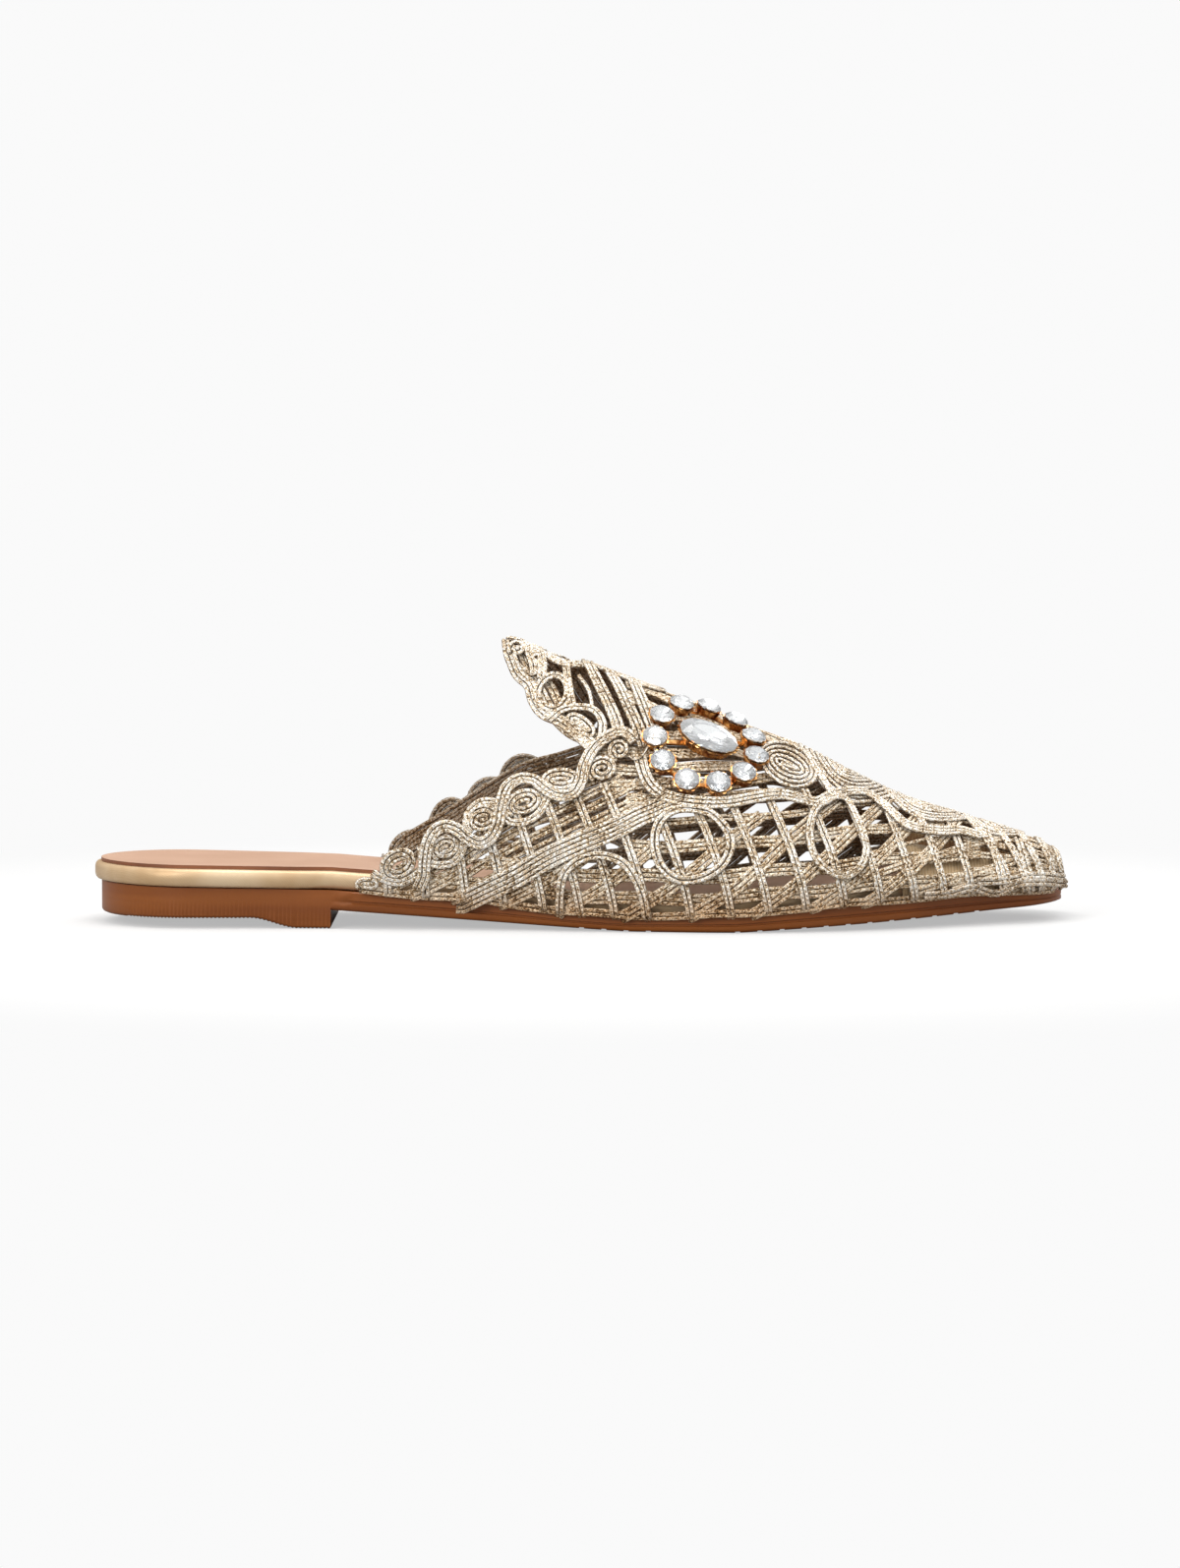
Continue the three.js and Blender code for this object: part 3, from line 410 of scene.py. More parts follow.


# %% [markdown]
# The bright bands and the duller net use the same material with other colours; the net's darker
# colours are painted shade, because it lies under and behind the bands. Light specks along the threads
# are painted glints and dark specks painted shadow, the hollows and flanks are darkened as painted
# shade, and the cords near the sole are browner.

# %% Cord material
def cord_material(name, light, middle, dark, metallic, roughness):
    paint = Paint(name, Metallic=metallic, Roughness=roughness)
    uv = paint.add("UVMap", {}, uv_map="cord_map")
    pattern = paint.add("Group", {"Map": uv, "Pitch": 1.5, "Turns": 2.0, "Grain": 1.1}, None, node_tree=braid)
    drift = paint.noise(paint.place, 150.0, 2.0)
    speck = paint.math("ADD", pattern["Speck"], paint.math("MULTIPLY", drift, 0.25))
    # Painted light: light specks are glints in the light colour, and dark specks, hollows and flanks are shade
    # in the dark colour.
    colour = paint.mix(paint.spread(speck, 0.60, 0.66), middle, light)
    shade = paint.math("MULTIPLY", paint.spread(speck, 0.58, 0.53), 0.92)
    for share, weight in (("HollowShade", 0.42), ("FlankShade", 0.62)):
        shade = paint.math("MAXIMUM", shade, paint.math("MULTIPLY", pattern[share], weight))
    colour = paint.mix(shade, colour, dark)
    low = paint.spread(paint.add("SeparateXYZ", {0: paint.place}, 2), 0.013, 0.006, 0.0, 0.5)
    colour = paint.mix(low, colour, "#d9a860", "MULTIPLY")
    rough = paint.spread(speck, 0.5, 0.75, roughness + 0.2, roughness - 0.12)
    relief = paint.math("ADD", pattern["Height"], paint.math("MULTIPLY", speck, 2.0))
    return paint.plug(colour, rough, relief, 0.9, 0.0003)


# The three colours are a painted highlight, the cord's own colour and a painted shade.
cord_gold = cord_material("cord_gold", "#fffbf2", "#dcc198", "#472a0c", 0.4, 0.34)
# The net's darker colours are painted shade, because it lies under and behind the bands.
cord_ground_shaded = cord_material("cord_ground_shaded", "#fdf1dc", "#c29e6c", "#3a1f06", 0.35, 0.4)
print("cord materials", cord_gold.name, cord_ground_shaded.name)

# %% [markdown]
# ## Outsole
# The sole is one moulding: a low heel, a thin waist that lifts off the floor and a flat tread with
# fine grooves. It starts as a flat grid in the plan's shape. Each extrusion raises a new level
# of its side, and each level is then fitted to the outline, narrower at the edges and at the groove.


# %% Faces picked by a rule
def pick_faces(piece, rule):
    bpy.ops.object.mode_set(mode="OBJECT")
    for element in (*piece.data.vertices, *piece.data.edges):
        element.select = False
    for polygon in piece.data.polygons:
        polygon.select = bool(rule(polygon))
    bpy.ops.object.mode_set(mode="EDIT")
    bpy.ops.mesh.select_mode(type="FACE")


# %% Levels fitted to the outline
CORNER_GAP, CORNER_CLEAR = 0.12, 0.35
PLACES, ACROSS = 150, 10


def plan_places(end, corners):
    """Places along the shoe: crowded at the round ends, with a pair at every sharp corner."""
    places = end * (1 - np.cos(np.linspace(0, math.pi, PLACES))) / 2
    for corner in corners:
        places = places[np.abs(places - corner) > CORNER_CLEAR]
        places = np.append(places, (corner - CORNER_GAP / 2, corner + CORNER_GAP / 2))
    return np.sort(places)


def raise_levels(name, end, levels, corners=(), rim=0.0):
    """A closed piece on the shoe's plan from pairs of rules, an inset and a height, level by level.

    A level with a larger inset than the rim also starts later at the heel, and one with a larger
    inset than the last level ends earlier at the toe.
    """
    places = plan_places(end, corners)
    steps = len(places) - 1
    piece = start(bpy.ops.mesh.primitive_grid_add, x_subdivisions=steps, y_subdivisions=ACROSS, size=2)
    piece.name = piece.data.name = name
    bpy.ops.object.mode_set(mode="EDIT")
    bpy.ops.mesh.select_all(action="SELECT")
    for _ in levels[1:]:
        bpy.ops.mesh.extrude_region_move(TRANSFORM_OT_translate={"value": (0, 0, 1)})
    bpy.ops.object.mode_set(mode="OBJECT")
    rims = (rim, float(levels[-1][0](places)[-1]))
    near_heel = np.maximum(0, 1 - places / HEEL_ROUND)
    near_toe = np.maximum(0, (places - end + TOE_ROUND) / TOE_ROUND)
    fitted = []
    for inset, height in levels:
        drawn = inset(places)
        late, early = np.maximum(0, drawn[[0, -1]] - rims)
        x = places + late * near_heel - early * near_toe - HEEL_SHIFT
        fitted.append((x, *plan_edges(places, drawn, end), height(places)))
    for vertex in piece.data.vertices:
        column = round((vertex.co.x + 1) / 2 * steps)
        share = (vertex.co.y + 1) / 2
        x, outer, inner, z = (values[column] for values in fitted[round(vertex.co.z)])
        vertex.co = Vector((x, outer + (inner - outer) * share, z)) * MM
    bpy.ops.object.mode_set(mode="EDIT")
    bpy.ops.mesh.select_all(action="SELECT")
    bpy.ops.mesh.normals_make_consistent(inside=False)
    bpy.ops.object.mode_set(mode="OBJECT")
    print(name, "starts at", round(min(vertex.co.x for vertex in piece.data.vertices) / MM, 1), "mm")
    return piece


def finish_piece(piece, material, node, angle=None):
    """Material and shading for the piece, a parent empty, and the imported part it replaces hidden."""
    piece.data.materials.clear()
    piece.data.materials.append(material)
    bpy.ops.object.select_all(action="DESELECT")
    piece.select_set(True)
    bpy.context.view_layer.objects.active = piece
    if angle is None:
        bpy.ops.object.shade_smooth()
    else:
        bpy.ops.object.shade_smooth_by_angle(angle=math.radians(angle))
    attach(piece, "root")
    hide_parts(node)
    print(piece.name, len(piece.data.polygons), "faces")


# %% Outsole
HEEL_INSET, EDGE_ROUND = 1.8, 1.1
GROOVE_DROP, GROOVE_WIDTH, GROOVE_DEPTH = 2.4, 0.9, 0.5
TREAD_WIDTH, TREAD_DEPTH, TREAD_PITCH, TREAD_MARGIN, PLAIN_PATCH = 1.3, 0.7, 6.0, 8.0, 18.0
TOOTH_PITCH, TOOTH_HEIGHT = 1.1, 0.3
TOP_ROUND = 0.3

# The grooves lie under the ball and the toe and leave a plain patch in the middle
tread = [x for x in np.arange(TREAD_MARGIN, SHOE_LENGTH - 3 * TREAD_MARGIN, TREAD_PITCH)
         if x >= BALL_FROM - 2 * TREAD_MARGIN and abs(x - (BALL_FROM + BALL_TO) / 2) >= PLAIN_PATCH / 2]
teeth = np.arange(TREAD_MARGIN, BREAST_AT, TOOTH_PITCH / 2) // (TOOTH_PITCH / 2) * TOOTH_PITCH / 2


def heel_teeth(x):
    wave = np.abs((x / TOOTH_PITCH) % 1 * 2 - 1)
    return TOOTH_HEIGHT * wave * np.where((x > TREAD_MARGIN) & (x < BREAST_AT), 1.0, 0.0)


def tread_height(x):
    height = sole_underside(x) + heel_teeth(x)
    for groove in tread:
        height = np.where(np.abs(x - groove) < TREAD_WIDTH / 2, height + TREAD_DEPTH, height)
    return height


def heel_inset(x):
    return HEEL_INSET * (1 - blend(HEEL_RISE, BREAST_AT + TREAD_MARGIN, x))


def side_level(depth, drop):
    """A level of the side below the top edge, and how deep it lies in the groove."""
    return (lambda x: heel_inset(x) + depth * blend(BREAST_AT, BREAST_AT + TREAD_MARGIN, x),
            lambda x: sole_top(x) - drop * np.minimum(1, (sole_top(x) - sole_underside(x)) / SOLE_THICK))


outsole = raise_levels("outsole_moulded", SHOE_LENGTH - FEATHER, [
    (lambda x: heel_inset(x) + EDGE_ROUND, tread_height),
    (lambda x: heel_inset(x) + 0.3 * EDGE_ROUND, lambda x: sole_underside(x) + 0.5 * heel_teeth(x) + 0.35),
    (heel_inset, lambda x: sole_underside(x) + 0.9),
    side_level(0.0, GROOVE_DROP + GROOVE_WIDTH),
    side_level(GROOVE_DEPTH, GROOVE_DROP + 0.75 * GROOVE_WIDTH),
    side_level(GROOVE_DEPTH, GROOVE_DROP + 0.25 * GROOVE_WIDTH),
    side_level(0.0, GROOVE_DROP),
    side_level(0.0, TOP_ROUND),
    side_level(TOP_ROUND, 0.0),
], [BREAST_AT, *(groove + way * TREAD_WIDTH / 2 for groove in tread for way in (-1, 1)), *teeth])

# %% [markdown]
# Moulded rubber is one colour with faint streaks along the edge, a soft gloss and a fine grain.

# %% Sole rubber
paint = Paint("sole_rubber", Metallic=0.0, Coat_Weight=0.06, Coat_Roughness=0.35, Specular_IOR_Level=0.25)
streak = paint.noise(paint.add("Mapping", {"Vector": paint.place, "Scale": (14.0, 14.0, 260.0)}), 1.0, 2.0)
grain = paint.noise(paint.place, 1800.0, 3.0)
colour = paint.mix(paint.spread(streak, 0.3, 0.7), "#7b421a", "#8d5020")
colour = paint.mix(paint.math("MULTIPLY", grain, 0.25), colour, "#6e3a14")
sole_rubber = paint.plug(colour, paint.spread(grain, 0.2, 0.8, 0.34, 0.46), grain)
finish_piece(outsole, sole_rubber, "outsole", angle=35)

# %% [markdown]
# ## Board and insock
# The board is stiff and wrapped in gold satin, so its edge is a soft half round. The insock is a thin
# sheet glued on it, pink beige on top with a brown cut edge. The same levels make both.

# %% Board
BOARD_THICK, BOARD_TOE, BOARD_OVER = 4.8, 3.2, 0.2
WALL, TOE_CLEAR, TOE_NARROW = 1.5, 2.4, 1.8
BOARD_INSIDE = WALL - FEATHER + 2 * SEAT
BOARD_END = SHOE_LENGTH - FEATHER - WALL - TOE_CLEAR
BOARD_ROUND, BOARD_LEVELS = 1.3, 9
INSOCK_THICK, INSOCK_MARGIN, INSOCK_RIM, INSOCK_SINK = 0.7, 2.5, 0.6, 0.25


def board_inset(x):
    inside = blend(REAR_AT - 14, REAR_AT - 2, x)
    toe = TOE_NARROW * blend(0.7 * SHOE_LENGTH, SHOE_LENGTH, x)
    return -BOARD_OVER * (1 - inside) + BOARD_INSIDE * inside + toe


def board_height(x):
    return BOARD_THICK + (BOARD_TOE - BOARD_THICK) * blend(0.6 * SHOE_LENGTH, SHOE_LENGTH, x)


def board_level(turn):
    """A level of the half-round edge: turn runs from a quarter turn below to one above."""
    inset = BOARD_ROUND * (1 - math.cos(turn))
    return (lambda x: board_inset(x) + inset,
            lambda x: sole_top(x) + SEAT + board_height(x) * (0.5 + 0.5 * math.sin(turn)))


def insock_level(raised):
    return (lambda x: board_inset(x) + INSOCK_MARGIN,
            lambda x: sole_top(x) + SEAT + board_height(x) + SEAT + raised)


quarter = math.pi / 2
board = raise_levels("board_wrapped", BOARD_END,
                     [board_level(turn) for turn in np.linspace(-quarter, quarter, BOARD_LEVELS)])
insock = raise_levels("insock_sheet", BOARD_END - 1,
                      [insock_level(-INSOCK_SINK), insock_level(INSOCK_THICK)], rim=INSOCK_RIM)


# %% [markdown]
# Satin has a slanting weave, and cloudy lighter and darker patches in its colour are a painted sheen.
# The insock's leather has a fine grain. Its side faces get a second, browner material, because a cut
# edge shows the inside of the sheet.

# %% Satin, leather and the cut edge
paint = Paint("board_satin", Metallic=0.35, Roughness=0.42)
weave = paint.add("TexWave", {"Vector": paint.place, "Scale": 900.0, "Distortion": 1.5, "Detail": 1.0}, 1,
                  bands_direction="DIAGONAL")
# Cloudy lighter and darker patches in the satin's colour are a painted sheen.
cloud = paint.noise(paint.place, 60.0, 4.0)
colour = paint.mix(paint.spread(cloud, 0.35, 0.7), "#bb9b74", "#d5bd9c")
colour = paint.mix(paint.math("MULTIPLY", weave, 0.12), colour, "#a98a55")
finish_piece(board, paint.plug(colour, None, weave, 0.2, 0.00008), "footbed_board", angle=60)


def leather_material(name, light, dark):
    paint = Paint(name, Metallic=0.0, Roughness=0.55)
    grain = paint.add("TexVoronoi", {"Vector": paint.place, "Scale": 1100.0})
    cloud = paint.noise(paint.place, 45.0, 4.0)
    return paint.plug(paint.mix(paint.spread(cloud, 0.3, 0.7), dark, light), None, grain, 0.25, 0.00012)


insock_leather = leather_material("insock_leather", "#b8947c", "#ab866d")
finish_piece(insock, insock_leather, "insock", angle=35)
insock.data.materials.append(leather_material("insock_cut_edge", "#8a5433", "#5e3520"))
for polygon in insock.data.polygons:
    polygon.material_index = int(abs(polygon.normal.z) < 0.5)

# %% [markdown]
# ## Drawing the cords
# Cord work is drawn on paper before it is sewn. Here the paper is a side view in small squares of
# 0.27 mm: its columns start at the heel and its rows count down from above the shoe. A few points
# give the run of a band, a smooth curve joins them, and the band is then wrapped onto the upper, one,
# two or more cords side by side. The inner side of the shoe uses the same drawing.

# %% From the drawing to the shoe
SQUARE = 0.27
PAPER_HEEL, PAPER_FLOOR, PAPER_TILT = 97.0, 937.0, 0.26
CORD, CORD_STEP = 1.22, 0.85
INNER_DROP, STRETCH_TO, STRETCH_GONE = 3.0, 128, 150
random = np.random.default_rng(7)


def curve_through(points, step, closed=False):
    """A smooth curve through points, with equal steps along it."""
    points = np.array(points, float)
    count = len(points)
    padded = np.vstack([points[-1:], points, points[:2]]) if closed else np.vstack(
        [2 * points[0] - points[1], points, 2 * points[-1] - points[-2]])
    dense = []
    t = np.linspace(0, 1, 12, endpoint=False)[:, None]
    for i in range(count if closed else count - 1):
        a, b, c, d = padded[i:i + 4]
        dense.append(0.5 * (2 * b + (c - a) * t + (2 * a - 5 * b + 4 * c - d) * t**2
                            + (3 * b - a - 3 * c + d) * t**3))
    dense.append(points[:1] if closed else points[-1:])
    dense = np.vstack(dense)
    length = np.insert(np.cumsum(np.linalg.norm(np.diff(dense, axis=0), axis=1)), 0, 0)
    places = np.linspace(0, length[-1], max(3, int(round(length[-1] / step)) + 1))
    return np.stack([np.interp(places, length, dense[:, k]) for k in range(dense.shape[1])], -1)


def from_paper(points):
    """Paper columns and rows to millimetres from the heel and above the feather edge."""
    x = (points[:, 0] - PAPER_HEEL) * SQUARE
    foot = section(x, OUTER)["foot"]
    z = (PAPER_FLOOR - points[:, 1]) * SQUARE
    for _ in range(4):
        y = face(x, around_at(x, z - foot, OUTER))[:, 1]
        z = (PAPER_FLOOR - PAPER_TILT * y - points[:, 1]) * SQUARE
    return x, z - foot


def stretch(x, side):
    """The inner collar stands higher, and what is drawn under it is stretched with it."""
    if side == OUTER:
        return 1.0
    ratio = (collar_up(x, INNER) - INNER_DROP) / np.maximum(collar_up(x, OUTER), 1)
    return 1 + (ratio - 1) * (1 - blend(STRETCH_TO, STRETCH_GONE, x))


# %% [markdown]
# A run of cords follows one path on the surface. Each cord is set off to its side, lifted a little,
# and moved by a small random amount, because hand-laid cords are never quite even.

# %% Laying cords side by side
TUCK_DEPTH, UNEVEN = 2.6, 0.05
COIL_START, COIL_POINTS, COIL_LIFT = 2.5, 26, 1.6
cords = []


def lay(x, around, lift, count=2, drop=None, radius=CORD / 2, kind="gold"):
    """Wraps a run of cords onto the upper and keeps their centre lines."""
    centre = face(x, around)
    normal = face_normal(x, around)
    if drop is not None:
        centre[:, 2] += drop
    tangent = unit(np.gradient(centre, axis=0))
    across = unit(np.cross(normal, tangent))
    rise = centre[:, 2] - section(x, OUTER)["foot"]
    tuck = (1 - blend(-1.0, 0.9, rise))[:, None] * TUCK_DEPTH
    wobble = random.normal(0, UNEVEN, (count, 2))
    for number in range(count):
        offset = (number - (count - 1) / 2) * CORD + wobble[number, 0]
        line = centre + across * offset + normal * (lift + wobble[number, 1] - tuck)
        cords.append({"line": line, "normal": normal, "radius": radius, "kind": kind})


def lay_run(x, up, lift, count=2, sides=(OUTER, INNER), **options):
    """Wraps a band given by its height above the feather edge onto one side or both."""
    for side in sides:
        height = up * stretch(x, side)
        lay(x, around_at(x, height, side), lift, count, drop=np.clip(height, -1.0, 0), **options)


def lay_drawn(points, lift, count=2, closed=False, **options):
    """Wraps a band drawn on paper."""
    lay_run(*from_paper(curve_through(points, CORD_STEP / SQUARE, closed)), lift, count, **options)


def lay_coil(centre, half, turns, tilt):
    """A flat coil: one cord winding inwards, drawn as an oval at a slant."""
    angle = np.linspace(0, 2 * math.pi * turns, int(COIL_POINTS * turns))
    shrink = CORD / SQUARE * angle / (2 * math.pi)
    a = np.maximum(half[0] - shrink, 1.2) * np.cos(angle + COIL_START)
    b = np.maximum(half[1] - shrink, 0.8) * np.sin(angle + COIL_START)
    slant = math.radians(tilt)
    lay_drawn(np.stack([centre[0] + a * math.cos(slant) + b * math.sin(slant),
                        centre[1] - a * math.sin(slant) + b * math.cos(slant)], -1), COIL_LIFT, 1)


# %% [markdown]
# ## The net underneath
# Behind the bold bands lies a net: level courses of two or three cords round the shoe, and slanting
# courses that rise towards the toe. It closes most of the upper and leaves small gaps between.

# %% Level and slanting courses
LEVEL_COURSES = [  # height above the feather edge, from, to, cords, lift
    (0.6, 74, 264, 2, 0.7), (5.0, 84, 258, 3, 0.2), (11.0, 108, 244, 3, 0.2), (19.0, 146, 234, 3, 0.1),
    (25.5, 150, 216, 2, 0.1), (31.0, 146, 196, 3, 0.0), (35.0, 142, 192, 3, 0.0), (39.0, 140, 188, 3, 0.0),
    (43.0, 138, 182, 3, 0.0), (47.0, 136, 176, 3, 0.0),
]
SLANTING_COURSES = [  # foot, height reached
    (88, 9), (99, 12), (112, 16), (127, 20), (145, 26), (163, 28), (180, 28), (196, 24), (210, 20),
]
TOP_SHARE, SLANT = 0.86, 1.5

for height, begin, end, count, lift in LEVEL_COURSES:
    x = np.arange(begin, end, CORD_STEP)
    top = section(x, OUTER)["top"] - section(x, OUTER)["foot"]
    sway = 0.4 * np.sin(x / 5.3 + height)
    lay_run(x, np.minimum(height + sway, TOP_SHARE * top), lift, count, kind="ground")

for foot, reach in SLANTING_COURSES:
    up = np.arange(-0.5, reach, 0.5)
    lay_run(foot + SLANT * up + 1.2 * np.sin(up / 4.5), up, 0.6, 3, kind="ground")

# %% [markdown]
# Further courses follow the collar's edge at set distances below it. The inner collar gets two more
# right behind the edge, because its inside is seen through the opening.

# %% Courses under the collar and at the toe
THROAT_AT, THROAT_RISE = 138, 0.55
BOTH, INNER_ONLY = (OUTER, INNER), (INNER,)
COLLAR_COURSES = [  # below the edge, from, to, cords, lift, lowest, sides
    (7.5, 80, 142, 3, 0.1, 2.0, BOTH), (11.3, 90, 146, 2, 0.1, 2.0, BOTH), (15.0, 100, 150, 2, 0.1, 2.0, BOTH),
    (19.5, 111, 152, 3, 0.1, 2.0, BOTH), (3.0, 84, 140, 2, 0.0, 1.0, INNER_ONLY),
    (5.6, 84, 140, 2, 0.0, 1.0, INNER_ONLY),
]
TOE_COURSES = [  # points on the paper, cords
    ([(878, 869), (905, 863), (935, 856), (968, 850)], 1),
    ([(880, 892), (915, 881), (950, 872), (985, 862), (1020, 856)], 2),
    ([(922, 908), (960, 897), (990, 889), (1020, 881), (1050, 872)], 2),
    ([(965, 905), (1000, 896), (1040, 889), (1076, 884)], 2),
]

for below, begin, end, count, lift, lowest, sides in COLLAR_COURSES:
    x = np.arange(begin, end, CORD_STEP)
    past = THROAT_RISE * np.maximum(x - THROAT_AT, 0) if sides == BOTH else 0
    for side in sides:
        up = np.maximum(lowest, collar_up(np.minimum(x, THROAT_AT), side) + past - below)
        lay(x, around_at(x, up, side), lift, count, kind="ground")
for points, count in TOE_COURSES:
    lay_drawn(points, 0.5, count, kind="ground")
print("cords in the net so far", len(cords))

# %% [markdown]
# ## Ribs
# Twin cords stand on the feather edge and lean back as they rise. They tie the net to the sole.

# %% Ribs
RIBS = [  # foot as a share of the length, height of the top as a share of the instep
    (0.305, 0.1), (0.343, 0.2), (0.384, 0.27), (0.422, 0.35), (0.462, 0.42), (0.5, 0.47), (0.534, 0.5),
    (0.567, 0.5), (0.61, 0.42), (0.65, 0.42), (0.687, 0.42), (0.725, 0.44), (0.763, 0.44), (0.8, 0.4),
    (0.835, 0.34), (0.866, 0.3), (0.894, 0.26), (0.928, 0.22), (0.958, 0.19),
]


def leaning(foot, up):
    fade = blend(REAR_AT - 4, SHOE_LENGTH / 2, foot) * (1 - blend(0.96 * SHOE_LENGTH, SHOE_LENGTH, foot))
    return foot - RIB_LEAN * fade * np.maximum(0, up / INSTEP) ** LEAN_CURVE


for share, top in RIBS:
    up = np.arange(-1.4, top * INSTEP, 0.6)
    lay_run(leaning(share * SHOE_LENGTH, up), up, 1.15, 2)

# %% [markdown]
# ## Bold bands
# Over the ribs lie the bands that the eye follows: the braid that climbs from the waist, the arch and
# the two rings, the band under the brooch, and the wave that edges the collar and wraps its coils.

# %% Bands on the side
BRAID = [(468, 922), (480, 914), (500, 904), (530, 890), (560, 873), (592, 859), (625, 846), (655, 832),
         (690, 817)]
ARCH = [(572, 934), (573, 905), (577, 888), (588, 877), (605, 871), (622, 872), (637, 879), (648, 893),
        (656, 912), (660, 934)]
RING_1 = [(700, 826), (722, 831), (738, 848), (741, 865), (732, 882), (712, 893), (690, 894), (674, 882),
          (667, 862), (670, 842), (683, 829)]
RING_2 = [(856, 818), (866, 834), (873, 850), (876, 868), (870, 883), (857, 891), (842, 889), (829, 880),
          (821, 865), (820, 846), (825, 829), (838, 818)]
VAMP = [(652, 775), (656, 790), (663, 803), (675, 812), (692, 817), (715, 820), (740, 820), (765, 816),
        (790, 813), (810, 817), (828, 821), (842, 815), (860, 811), (880, 813), (900, 828), (915, 842),
        (930, 848), (955, 851), (975, 851), (995, 856)]
WAVE = [(430, 903), (436, 890), (437, 875), (440, 858), (447, 846), (458, 841), (470, 845), (480, 853),
        (492, 858), (503, 853), (510, 840), (513, 822), (518, 806), (530, 797), (545, 798), (556, 806),
        (570, 813), (585, 811), (593, 799), (596, 785), (603, 770), (613, 759), (627, 751), (637, 751),
        (647, 760)]
UNDERWAVE = [(384, 886), (396, 893), (412, 896), (428, 889), (440, 878), (452, 879), (466, 876), (475, 864),
             (478, 846), (480, 830), (490, 819), (503, 817), (514, 824), (520, 836), (535, 838), (550, 830),
             (560, 814)]
THREAD = [(640, 775), (647, 779), (655, 774), (661, 764)]
FEATHER_WAVE = [(935, 909), (960, 907), (985, 902), (1010, 907), (1032, 899), (1060, 898), (1084, 900)]
TOE_BAND = [(990, 897), (1020, 896), (1050, 893), (1082, 895)]
LINK = [(818, 770), (828, 788), (838, 804), (845, 815)]

for points, lift, count in ((BRAID, 1.7, 5), (ARCH, 2.0, 2)):
    lay_drawn(points, lift, count)
for points in (RING_1, RING_2):
    lay_drawn(points, 2.1, 2, closed=True)
for points, lift, count in ((VAMP, 2.0, 3), (WAVE, 2.2, 3), (UNDERWAVE, 1.6, 2)):
    lay_drawn(points, lift, count)
lay_drawn(THREAD, 2.6, 1, sides=(OUTER,), radius=0.3)
for points, lift in ((FEATHER_WAVE, 1.4), (TOE_BAND, 1.4), (LINK, 1.9)):
    lay_drawn(points, lift, 2)

# %% [markdown]
# At the toe twin ribs run from edge to edge over the crest and follow the shape of the tip. Six
# lengthwise courses behind them, from low to high, close the point.

# %% Ribs and courses round the toe
TOE_RIBS = [(250.0, 1.3), (255.0, 1.2), (259.5, 1.1), (263.0, 1.0), (265.8, 0.8)]
for foot, lift in TOE_RIBS:
    around = np.linspace(0.02, math.pi - 0.02, 70)
    lean = (SHOE_LENGTH - foot) * 0.55 * np.sin(around) ** 2
    lay(np.minimum(foot - lean, TIP_AT), around, lift, 2)

x = np.arange(238, 266.5, CORD_STEP)
for reach in (0.2, 0.36, 0.52, 0.68, 0.84, 1.0):
    turn = reach * math.pi / 2
    for around in (turn, math.pi - turn):
        lay(x, np.full(x.shape, around), 0.3, 2, kind="ground")

# %% [markdown]
# Flat coils fill the collar's edge, and one large coil lies in front of the brooch.

# %% Coils of the collar and the vamp
COILS = [  # middle on the paper, half sizes, turns, slant
    ((411, 878), (19, 15), 3.2, 30), ((458, 862), (15, 12), 2.6, 25), ((495, 834), (17, 14), 3.0, 20),
    ((536, 819), (18, 13), 2.8, 20), ((573, 797), (20, 12), 2.6, 5), ((614, 786), (15, 13), 2.8, 20),
    ((631, 767), (11, 11), 2.2, 40), ((380, 898), (12, 7), 1.5, 0), ((800, 784), (32, 22), 5.0, -25),
    ((526, 664), (9, 8), 2.2, 0), ((548, 681), (7, 13), 2.0, 20), ((594, 743), (17, 9), 2.4, -40),
]
for centre, half, turns, slant in COILS:
    lay_coil(centre, half, turns, slant)

# %% [markdown]
# ## Tongue, vamp top and toe
# Long slanting cords run from the tongue's tip under the brooch, and leaf-shaped loops close the top
# of the toe. These cross the crest, so they are given by the way round the foot.

# %% Tongue
TONGUE = [
    ([(519, 668), (528, 688), (541, 700), (546, 716), (556, 730), (575, 738), (590, 750), (606, 762)], 3, 1.3),
    ([(530, 660), (550, 668), (576, 679), (602, 681), (630, 691), (655, 701), (676, 707)], 3, 1.3),
    ([(577, 684), (580, 698), (583, 712), (586, 726)], 2, 1.7),
    ([(597, 679), (607, 697), (617, 716), (626, 735), (632, 753)], 3, 1.8),
    ([(621, 690), (631, 706), (640, 724), (649, 743), (657, 764)], 3, 1.6),
    ([(645, 699), (652, 714), (659, 730), (666, 748), (673, 768)], 3, 1.4),
    ([(560, 738), (574, 727), (590, 724), (605, 727), (614, 740), (613, 757)], 2, 1.9),
    ([(548, 667), (553, 681), (552, 694)], 2, 1.7),
    ([(536, 663), (542, 676), (545, 690)], 2, 1.3),
    ([(578, 744), (590, 754), (604, 768)], 2, 1.3),
    ([(590, 690), (600, 705), (604, 722)], 1, 0.8),
]
TONGUE_RING = [(566, 691), (577, 697), (580, 709), (575, 721), (563, 725), (552, 718), (549, 706), (555, 695)]
for points, count, lift in TONGUE:
    lay_drawn(points, lift, count)
lay_drawn(TONGUE_RING, 1.7, 2, closed=True)


# %% [markdown]
# The tongue's edge is a run of three cords from one root over the tip to the other. Close runs behind
# it make the inner half of the tongue dense, because its inside faces the camera.

# %% The tongue's free edge
TONGUE_EDGE = table("at outer inner", [
    (0.5, 0.715, 0.735), (0.482, 0.745, 0.765), (0.466, 0.8, 0.815), (0.454, 0.865, 0.875),
    (0.444, 0.935, 0.94), (0.427, 0.985, 0.985), (0.418, 1.035, 1.035),
])
AROUND_SCALE = 20  # makes a radian round the foot count like millimetres along it
BACKING_LOWEST = 0.74


